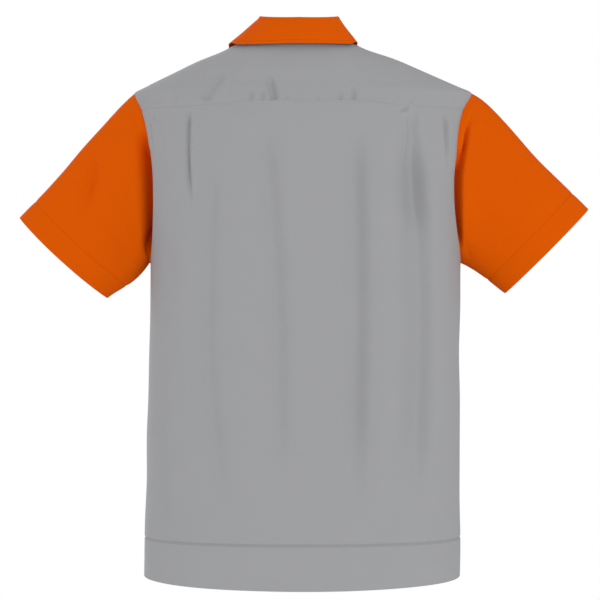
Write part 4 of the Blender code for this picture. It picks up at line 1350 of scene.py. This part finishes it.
def collar_middle(around, leaf_shares):
    """Middle surface of the collar: rows from the neck seam over the fold to the leaf's edge."""
    degrees = np.abs(np.degrees(around))
    sizes = Collar(*(curve_value(COLLAR_COLUMNS[0], column, degrees)[:, None]
                     for column in COLLAR_COLUMNS))
    left = np.where(around >= 0.0, 1.0, -1.0)
    seam, normal, inward = neck_edge(around)
    start = seam + SEAM_GAP * inward - 0.5 * COLLAR_WALL * normal
    axis = body_point(0.0, 0.0) + body_point(math.pi, NECK_POINT - NECK_FRONT_DROP)
    towards = unit((axis / 2.0 - seam) * (1.0, 1.0, 0.0))
    fold = seam + towards * sizes.inset + UP * sizes.rise + COLLAR_LEAN

    across = sizes.across * np.where(left < 0.0, RIGHT_LEAF, 1.0)[:, None]
    angle = angle_from_centre(across, sizes.height)[:, 0]
    angle = left * np.where(degrees <= 90.0, angle, math.pi - angle)
    height = sizes.height[:, 0]
    edge = (skin_point(angle, height)
            + (sizes.lift + 0.5 * COLLAR_WALL) * skin_normal(angle, height))

    radius = COLLAR_FOLD_RADIUS
    stand_top = fold + radius * (towards - UP)
    leaf_top = fold - radius * (towards + UP)
    rows = [start + (stand_top - start) * share
            for share in np.linspace(0.0, 1.0, STAND_ROWS, endpoint=False)]
    rows += [fold + radius * (math.cos(turn) * towards + (math.sin(turn) - 1.0) * UP)
             for turn in np.linspace(0.0, math.pi, FOLD_ROWS)]
    way = unit(edge - leaf_top)
    bow = UP - towards
    bow = unit(bow - way * (bow * way).sum(axis=-1, keepdims=True))
    rows += [leaf_top + (edge - leaf_top) * share + bow * sizes.bow * 4.0 * share * (1.0 - share)
             for share in leaf_shares[1:]]
    return np.array(rows)


collar_end = math.radians(COLLAR[-1].around)
print("collar: points {:.0f} degrees round from the centre back".format(COLLAR[-1].around))

# %% Rounded edges
ROUNDING = 0.0009              # how far from its edge layered cloth rounds off
THINNEST = 0.02                # square of the share of its thickness that is left right at the edge


def rounded(distance):
    """Share of the full thickness, this far from a rounded edge."""
    missing = 1.0 - np.clip(distance / ROUNDING, 0.0, 1.0)
    return np.sqrt(np.maximum(1.0 - missing ** 2, THINNEST))


print("edges rounded over {:.1f} mm".format(1000.0 * ROUNDING))

# %% [markdown]
# The collar is two layers with a stiffening between, so it is thicker than the rest.  Its row of
# stitches presses a groove into both sides.  Only the leaf is a little uneven; the stand is stiff.

# %% Collar
COLLAR_THICKNESS = 0.0014
COLLAR_PITCH = 0.0024
COLLAR_GIRTH = 0.46
LEAF_PITCH = 0.0016
LEAF_DEPTH = 0.045             # of the leaf, and up to the fold from the neck seam
LEAF_STITCHES = 0.005          # from the leaf's edge
LEAF_GROOVE = Dip(0.00025, 0.0010)
LEAF_WAVES = 0.7               # height of its unevenness, as a share of the body's
WAVE_CLOSENESS = 1.6           # how much closer its waves are
FIRST_WAVES = (0.040, 0.020)   # how far up they begin, and over what length

half_arounds = collar_end * spaced(0.5 * COLLAR_GIRTH, COLLAR_PITCH, fine_start=False)
arounds = np.concatenate([-half_arounds[:0:-1], half_arounds])
collar_rows = collar_middle(arounds, spaced(LEAF_DEPTH, LEAF_PITCH, fine_start=False))
collar_up = arc_lengths(collar_rows, 0)
collar_across = arc_lengths(collar_rows, 1)
to_edge = collar_up[-1] - collar_up
to_end = np.minimum(collar_across, collar_across[:, -1:] - collar_across)
half_thick = 0.5 * COLLAR_THICKNESS * rounded(to_edge) * rounded(to_end)
for distance in (to_edge, to_end):
    half_thick += edge_dip(distance - LEAF_STITCHES, LEAF_GROOVE) * (collar_up > LEAF_DEPTH)
collar_normals = grid_normals(collar_rows)
waves = LEAF_WAVES * unevenness(WAVE_CLOSENESS * collar_rows)
waves *= smooth_step((collar_up - FIRST_WAVES[0]) / FIRST_WAVES[1])
collar_outer = collar_rows + (waves + half_thick)[..., None] * collar_normals
collar_inner = collar_rows + (waves - half_thick)[..., None] * collar_normals
add_cloth("collar", collar_outer, orange, behind=collar_inner)
print("collar: {} rows of {}".format(*collar_outer.shape))

# %% [markdown]
# ## Placket and buttons
# The photograph hides the front.  It is finished with what a shirt with this name has: a short placket
# below the neck with three buttons.  The placket is a folded strip with soft edges that follows the
# front's creases.  Each button is dished and has four holes and a cross of thread.

# %% Placket
PLACKET_HALF_WIDTH = 0.015
PLACKET_LENGTH = 0.150
PLACKET_TOP = 0.0012           # below the neckline
PLACKET_THICKNESS = 0.0013
PLACKET_PITCH = (0.0016, 0.0024)       # across and down
PLACKET_STITCHES = 0.0020      # from the placket's edge
PLACKET_GROOVE = Dip(0.00022, 0.0009)
NECK_LEVEL = NECK_POINT - NECK_FRONT_DROP
PLACKET_MIDDLE = float(section_at(NECK_LEVEL).centre)


def front_spot(x, drop):
    """Points and normals on the front's outer side, by X and by how far they lie below the neck."""
    height = NECK_LEVEL - np.asarray(drop, float)
    across = x - section_at(height).centre
    angle = math.pi - angle_from_centre(np.abs(across), height)
    angle = np.where(across < 0.0, -angle, angle)
    point = skin_point(angle, height)
    normal = skin_normal(angle, height)
    relief = crease_relief(point, FRONT_CREASES) + unevenness(point)
    return point + relief[..., None] * normal, normal


strip_across = 2.0 * spaced(2.0 * PLACKET_HALF_WIDTH, PLACKET_PITCH[0]) - 1.0
strip_up = spaced(PLACKET_LENGTH, PLACKET_PITCH[1])[:, None]
strip_x = PLACKET_HALF_WIDTH * strip_across + 0.0 * strip_up
strip_top = PLACKET_TOP - 0.5 * strip_x ** 2 / section_at(NECK_POINT).half_width
strip_drop = strip_top + (PLACKET_LENGTH - strip_top) * (1.0 - strip_up)
strip, strip_normals = front_spot(PLACKET_MIDDLE + strip_x, strip_drop)
from_side = np.minimum(strip_x + PLACKET_HALF_WIDTH, PLACKET_HALF_WIDTH - strip_x)
from_end = PLACKET_LENGTH * np.minimum(strip_up, 1.0 - strip_up) + 0.0 * strip_x
strip_thick = PLACKET_THICKNESS * rounded(from_side) * rounded(from_end)
strip_thick += edge_dip(np.minimum(from_side, from_end) - PLACKET_STITCHES, PLACKET_GROOVE)
strip_low = strip + SEAM_GAP * strip_normals
strip_high = strip_low + strip_thick[..., None] * strip_normals
add_cloth("placket", strip_high, grey, behind=strip_low)
print("placket: {:.0f} x {:.0f} mm".format(2000.0 * PLACKET_HALF_WIDTH, 1000.0 * PLACKET_LENGTH))

# %% [markdown]
# A button is turned on a lathe and drilled.  Spin and Boolean modifiers could copy that, but the cuts
# would leave slivers round the holes.  So circles are joined to rings, and the faces with the holes
# are filled between their circles.  The thread comes up through each hole, arches over the middle and
# goes down through the opposite one.

# %% The form of a button
BUTTON_SIDES = 40
BUTTON_PROFILE = (             # radius and height over the button's underside, from the well outward
    (0.0034, 0.00165), (0.0037, 0.00172), (0.0040, 0.00210), (0.0043, 0.00236), (0.0047, 0.00240),
    (0.0051, 0.00228), (0.0054, 0.00190), (0.0055, 0.00145), (0.0055, 0.00095), (0.0053, 0.00045),
    (0.0048, 0.00010), (0.0034, 0.00000),
)
HOLE_RADIUS = 0.00075
HOLE_OFFSET = 0.00120          # of a hole's centre from the button's, along each of two directions
HOLE_SIDES = 14


def circle(bm, x, y, radius, z, sides):
    return [bm.verts.new((x + radius * math.cos(turn), y + radius * math.sin(turn), z))
            for turn in np.linspace(0.0, FULL_TURN, sides, endpoint=False)]


def close_ring(bm, low, high):
    """Faces between two circles; they face away from the axis when low is the lower one."""
    count = len(low)
    for index in range(count):
        after = (index + 1) % count
        bm.faces.new((low[index], low[after], high[after], high[index]))


def ring_edges(bm, verts):
    return [bm.edges.get((verts[index], verts[(index + 1) % len(verts)]))
            for index in range(len(verts))]


def button_mesh(bm):
    """A dished button with four holes, round the Z axis, its underside at 0."""
    rings = [circle(bm, 0.0, 0.0, radius, height, BUTTON_SIDES)
             for radius, height in BUTTON_PROFILE]
    for inner, outer in zip(rings[:-1], rings[1:]):
        close_ring(bm, outer, inner)
    well = BUTTON_PROFILE[0][1]
    tops = []
    bottoms = []
    for way_x in (-1.0, 1.0):
        for way_y in (-1.0, 1.0):
            place = (way_x * HOLE_OFFSET, way_y * HOLE_OFFSET, HOLE_RADIUS)
            top = circle(bm, *place, well, HOLE_SIDES)
            bottom = circle(bm, *place, 0.0, HOLE_SIDES)
            close_ring(bm, top, bottom)
            tops.append(top)
            bottoms.append(bottom)
    for rim, holes in ((rings[0], tops), (rings[-1], bottoms)):
        edges = [edge for loop in [rim, *holes] for edge in ring_edges(bm, loop)]
        bmesh.ops.triangle_fill(bm, edges=edges, use_beauty=True)
    bmesh.ops.recalc_face_normals(bm, faces=bm.faces)


print("button: {:.0f} mm across, {:.1f} mm thick".format(
    2000.0 * max(radius for radius, _ in BUTTON_PROFILE),
    1000.0 * max(height for _, height in BUTTON_PROFILE)))

# %% Thread of a button
BUTTON_THREAD = 0.00028        # radius
THREAD_SIDES = 8
THREAD_ARCH = 0.00055          # height of its middle over the button's well
THREAD_SPOTS = (-0.72, -0.4, 0.0, 0.4, 0.72)   # of its arch, as shares of the way to a hole
THREAD_END = 0.2               # height of its ends down in the holes, as a share of the well's
THREAD_WAYS = (math.radians(45.0), math.radians(135.0))


def thread_mesh(bm):
    """Two crossing strands that come up through the holes."""
    reach = math.sqrt(2.0) * HOLE_OFFSET
    well = BUTTON_PROFILE[0][1]
    for turn in THREAD_WAYS:
        way = Vector((math.cos(turn), math.sin(turn), 0.0))
        side = Vector((-way.y, way.x, 0.0))
        down = Vector((0.0, 0.0, THREAD_END * well))
        arch = [way * (reach * at) + Vector((0.0, 0.0, well + THREAD_ARCH * (1.0 - at * at)))
                for at in THREAD_SPOTS]
        line = [way * -reach + down, *arch, way * reach + down]
        rings = []
        for index, point in enumerate(line):
            ahead = (line[min(index + 1, len(line) - 1)] - line[max(index - 1, 0)]).normalized()
            lift = ahead.cross(side)
            rings.append([
                bm.verts.new(point + BUTTON_THREAD * (math.cos(angle) * side + math.sin(angle) * lift))
                for angle in np.linspace(0.0, FULL_TURN, THREAD_SIDES, endpoint=False)])
        for one, two in zip(rings[:-1], rings[1:]):
            close_ring(bm, one, two)
        bm.faces.new(reversed(rings[0]))
        bm.faces.new(rings[-1])
    bmesh.ops.recalc_face_normals(bm, faces=bm.faces)


print("thread: {:.1f} mm thick, {} strands".format(2000.0 * BUTTON_THREAD, len(THREAD_WAYS)))

# %% Buttons
BUTTON_DROPS = (0.022, 0.074, 0.126)   # below the neckline
BUTTON_LIFT = 0.0002           # over the placket
PLACKET_LIFT = SEAM_GAP + PLACKET_THICKNESS    # of its upper side over the front


def add_small_piece(name, build, place, material):
    """A small solid built round the Z axis and then moved, in its mesh, to its place."""
    bm = bmesh.new()
    build(bm)
    bm.transform(place)
    mesh = bpy.data.meshes.new(name)
    bm.to_mesh(mesh)
    bm.free()
    mesh.materials.append(material)
    piece = add_piece(name, mesh)
    mesh.set_sharp_from_angle(angle=SHARP_EDGE)
    return piece


for number, drop in enumerate(BUTTON_DROPS, start=1):
    point, normal = front_spot(np.array([PLACKET_MIDDLE]), np.array([drop]))
    spot = Vector(point[0] + (PLACKET_LIFT + BUTTON_LIFT) * normal[0])
    turned = Vector(normal[0]).to_track_quat("Z", "Y").to_matrix().to_4x4()
    place = Matrix.Translation(spot) @ turned
    button = add_small_piece("button_{}_dished".format(number), button_mesh, place,
                             button_plastic)
    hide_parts("button_{}".format(number))
    add_small_piece("button_{}_thread".format(number), thread_mesh, place,
                    grey_thread_with_painted_shade)
print("buttons:", len(BUTTON_DROPS))

# %% [markdown]
# ## Stitches
# A Geometry Nodes group sews along any line of points.  It walks along the line in equal steps, sets
# one slightly fat stitch at each, turned along the line and flat on the cloth, and makes them real.
# An Array modifier along a curve could repeat a stitch too, but it wouldn't keep it flat on the cloth.
# So each line carries the direction in which the cloth faces.

# %% The stitching group
STITCH_PITCH = 0.0026
STITCH_LENGTH = 0.0021
STITCH_WIDTH = 0.00042
STITCH_HEIGHT = 0.00030
STITCH_SEGMENTS = 6
STITCH_RINGS = 5


def make_stitch_group():
    """Stitches along a line of edges; Facing is the way the cloth faces."""
    group = bpy.data.node_groups.new("stitches_along", "GeometryNodeTree")
    sockets = group.interface
    sockets.new_socket("Geometry", in_out="INPUT", socket_type="NodeSocketGeometry")
    for name, value in (("Pitch", STITCH_PITCH), ("Length", STITCH_LENGTH),
                        ("Width", STITCH_WIDTH), ("Height", STITCH_HEIGHT)):
        sockets.new_socket(name, in_out="INPUT", socket_type="NodeSocketFloat").default_value = value
    sockets.new_socket("Thread", in_out="INPUT", socket_type="NodeSocketMaterial")
    sockets.new_socket("Geometry", in_out="OUTPUT", socket_type="NodeSocketGeometry")
    nodes = group.nodes
    links = group.links
    entry = nodes.new("NodeGroupInput")
    result = nodes.new("NodeGroupOutput")
    curve = nodes.new("GeometryNodeMeshToCurve")
    links.new(entry.outputs["Geometry"], curve.inputs["Mesh"])
    steps = nodes.new("GeometryNodeResampleCurve")
    steps.mode = "LENGTH"
    links.new(curve.outputs["Curve"], steps.inputs["Curve"])
    links.new(entry.outputs["Pitch"], steps.inputs["Length"])
    along = nodes.new("GeometryNodeInputTangent")
    facing = add_node(nodes, "GeometryNodeInputNamedAttribute", Name="facing")
    facing.data_type = "FLOAT_VECTOR"
    turn = nodes.new("FunctionNodeAxesToRotation")
    turn.primary_axis = "X"
    turn.secondary_axis = "Z"
    links.new(along.outputs["Tangent"], turn.inputs["Primary Axis"])
    links.new(facing.outputs["Attribute"], turn.inputs["Secondary Axis"])
    ball = add_node(nodes, "GeometryNodeMeshUVSphere", Segments=STITCH_SEGMENTS,
                    Rings=STITCH_RINGS, Radius=0.5)
    laid = add_node(nodes, "GeometryNodeTransform", Rotation=(0.0, QUARTER, 0.0))
    links.new(ball.outputs["Mesh"], laid.inputs["Geometry"])   # its poles become the stitch's ends
    size = nodes.new("ShaderNodeCombineXYZ")
    for name, axis in (("Length", "X"), ("Width", "Y"), ("Height", "Z")):
        links.new(entry.outputs[name], size.inputs[axis])
    place = nodes.new("GeometryNodeInstanceOnPoints")
    links.new(steps.outputs["Curve"], place.inputs["Points"])
    links.new(laid.outputs["Geometry"], place.inputs["Instance"])
    links.new(turn.outputs["Rotation"], place.inputs["Rotation"])
    links.new(size.outputs["Vector"], place.inputs["Scale"])
    real = nodes.new("GeometryNodeRealizeInstances")
    links.new(place.outputs["Instances"], real.inputs["Geometry"])
    paint = nodes.new("GeometryNodeSetMaterial")
    links.new(real.outputs["Geometry"], paint.inputs["Geometry"])
    links.new(entry.outputs["Thread"], paint.inputs["Material"])
    links.new(paint.outputs["Geometry"], result.inputs["Geometry"])
    return group


stitch_group = make_stitch_group()
print("stitch: {:.1f} mm long, one each {:.1f} mm".format(1000.0 * STITCH_LENGTH,
                                                          1000.0 * STITCH_PITCH))

# %% [markdown]
# A line to sew along is read off a sheet's own grid, at some distance from its edge, so the stitches
# follow every crease.  A plain mesh of the line's points gets the group as a modifier, and the result
# becomes one piece of real stitches.

# %% Sewing
STITCH_LIFT = 0.00005          # of the thread's middle over the cloth


def set_input(modifier, name, value):
    sockets = modifier.node_group.interface.items_tree
    identifier = next(item.identifier for item in sockets
                      if item.name == name and item.in_out == "INPUT")
    modifier[identifier] = value


def grid_line(points, distance, from_top=False, ring=False, first=0, last=None):
    """A line at a distance from a grid's bottom or top row, and the way the cloth faces there."""
    normals = grid_normals(points, ring)
    up = arc_lengths(points, 0)
    at = up[-1] - distance if from_top else np.full(points.shape[1], distance)
    line = []
    for column in range(points.shape[1])[first:last]:
        line.append([np.interp(at[column], up[:, column], values[:, column])
                     for values in np.moveaxis(np.concatenate([points, normals], -1), -1, 0)])
    line = np.array(line)
    return line[:, :3], unit(line[:, 3:])


def sew(name, lines, thread, slot_name, closed=False, **sizes):
    """One piece of stitches along lines of (points, directions)."""
    mesh = bpy.data.meshes.new(name)
    verts = np.concatenate([points + STITCH_LIFT * facings for points, facings in lines])
    edges = []
    start = 0
    for points, _ in lines:
        end = start + len(points) - 1
        edges += [(index, index + 1) for index in range(start, end)]
        if closed:
            edges.append((end, start))
        start = end + 1
    mesh.from_pydata(verts.tolist(), edges, [])
    facing = mesh.attributes.new("facing", "FLOAT_VECTOR", "POINT")
    facing.data.foreach_set("vector", np.concatenate([item[1] for item in lines]).ravel())
    path = bpy.data.objects.new(name + "_path", mesh)
    bpy.context.scene.collection.objects.link(path)
    modifier = path.modifiers.new("sew", "NODES")
    modifier.node_group = stitch_group
    set_input(modifier, "Thread", thread)
    for key, value in sizes.items():
        set_input(modifier, key, value)
    bpy.context.view_layer.update()
    evaluated = path.evaluated_get(bpy.context.evaluated_depsgraph_get())
    sewn = bpy.data.meshes.new_from_object(evaluated)
    bpy.data.objects.remove(path, do_unlink=True)
    sewn.name = name
    add_piece(name, sewn)
    print("{}: {} triangles".format(name, sum(len(face.vertices) - 2 for face in sewn.polygons)))


# %% [markdown]
# ## Where the shirt is sewn
# All thread has the hue of its cloth, as in the photograph, where only the sleeves' hem lines
# show, but darker: painted shade along the stitch lines.  Rows run round both sleeve hems, along the
# yoke and the hem band, inside the edge of the collar and round the placket.

# %% Stitch rows
YOKE_STITCHES = 0.0022         # over the yoke seam
BAND_STITCHES = 0.0026         # under the band seam
ROW_ENDS = 3                   # columns of a panel's grid before its stitches start
LEAF_ENDS = 4

past_the_roll = 2.0 * SLEEVE_HEM + (math.pi - 2.0) * ROLL_RADIUS
for name, points in sleeve_grids.items():
    hem_line = grid_line(points, past_the_roll, ring=True)
    sew(name + "_hem_stitches", [hem_line], orange_thread_with_painted_shade, "orange_cloth", closed=True)
yoke_line = grid_line(yoke_points, YOKE_STITCHES, first=ROW_ENDS, last=-ROW_ENDS)
sew("yoke_stitches", [yoke_line], grey_thread_with_painted_shade, "grey_cloth")
for name, band in (("hem_band_back", back_band), ("hem_band_front", front_band)):
    band_line = grid_line(band, BAND_STITCHES, from_top=True, first=ROW_ENDS, last=-ROW_ENDS)
    sew(name + "_stitches", [band_line], grey_thread_with_painted_shade, "grey_cloth")
leaf_line = grid_line(collar_outer, LEAF_STITCHES, from_top=True, first=LEAF_ENDS, last=-LEAF_ENDS)
sew("collar_stitches", [leaf_line], orange_thread_with_painted_shade, "orange_cloth")

# %% Placket stitches
FRAME_TOP = 0.004              # below the neckline
FRAME_POINTS = (12, 60)        # across and down


def placket_line(xs, drops, lift):
    points, normals = front_spot(PLACKET_MIDDLE + xs, drops)
    return points + lift * normals, normals


across_points, down_points = FRAME_POINTS
frame_side = PLACKET_HALF_WIDTH - PLACKET_STITCHES
down = np.linspace(FRAME_TOP, PLACKET_LENGTH - PLACKET_STITCHES, down_points)
across = np.linspace(-frame_side, frame_side, across_points)[1:-1]
frame_x = np.concatenate([np.full_like(down, -frame_side), across,
                          np.full_like(down, frame_side)])
frame_drop = np.concatenate([down, np.full_like(across, down[-1]), down[::-1]])
frame_line = placket_line(frame_x, frame_drop, PLACKET_LIFT - PLACKET_GROOVE.depth)
sew("placket_stitches", [frame_line], grey_thread_with_painted_shade, "grey_cloth")

# %% [markdown]
# A buttonhole is a narrow oval of the same stitches, but short and set close together, so that they
# form a raised edge.  Each lies under its button.

# %% Buttonholes
HOLE_HALF_LENGTH = 0.0068
HOLE_HALF_WIDTH = 0.0010
HOLE_POINTS = 60
BUTTONHOLE_STITCH = {"Pitch": 0.00045, "Length": 0.00050, "Width": 0.0011, "Height": 0.00030}

turns = np.linspace(0.0, FULL_TURN, HOLE_POINTS, endpoint=False)
oval_x = HOLE_HALF_WIDTH * np.sin(turns)
oval_drop = HOLE_HALF_LENGTH * np.cos(turns)
holes = [placket_line(oval_x, drop + oval_drop, PLACKET_LIFT) for drop in BUTTON_DROPS]
sew("buttonhole_stitches", holes, grey_thread_with_painted_shade, "grey_cloth", closed=True, **BUTTONHOLE_STITCH)

# %% [markdown]
# ## What the cloth is
# A cut gives the size of a piece of cloth before it was sewn: its width and its length, turned hems
# included, and how much of that rectangle is cloth.

# %% Cuts
Cut = namedtuple("Cut", "width length held rests_on with_pieces")
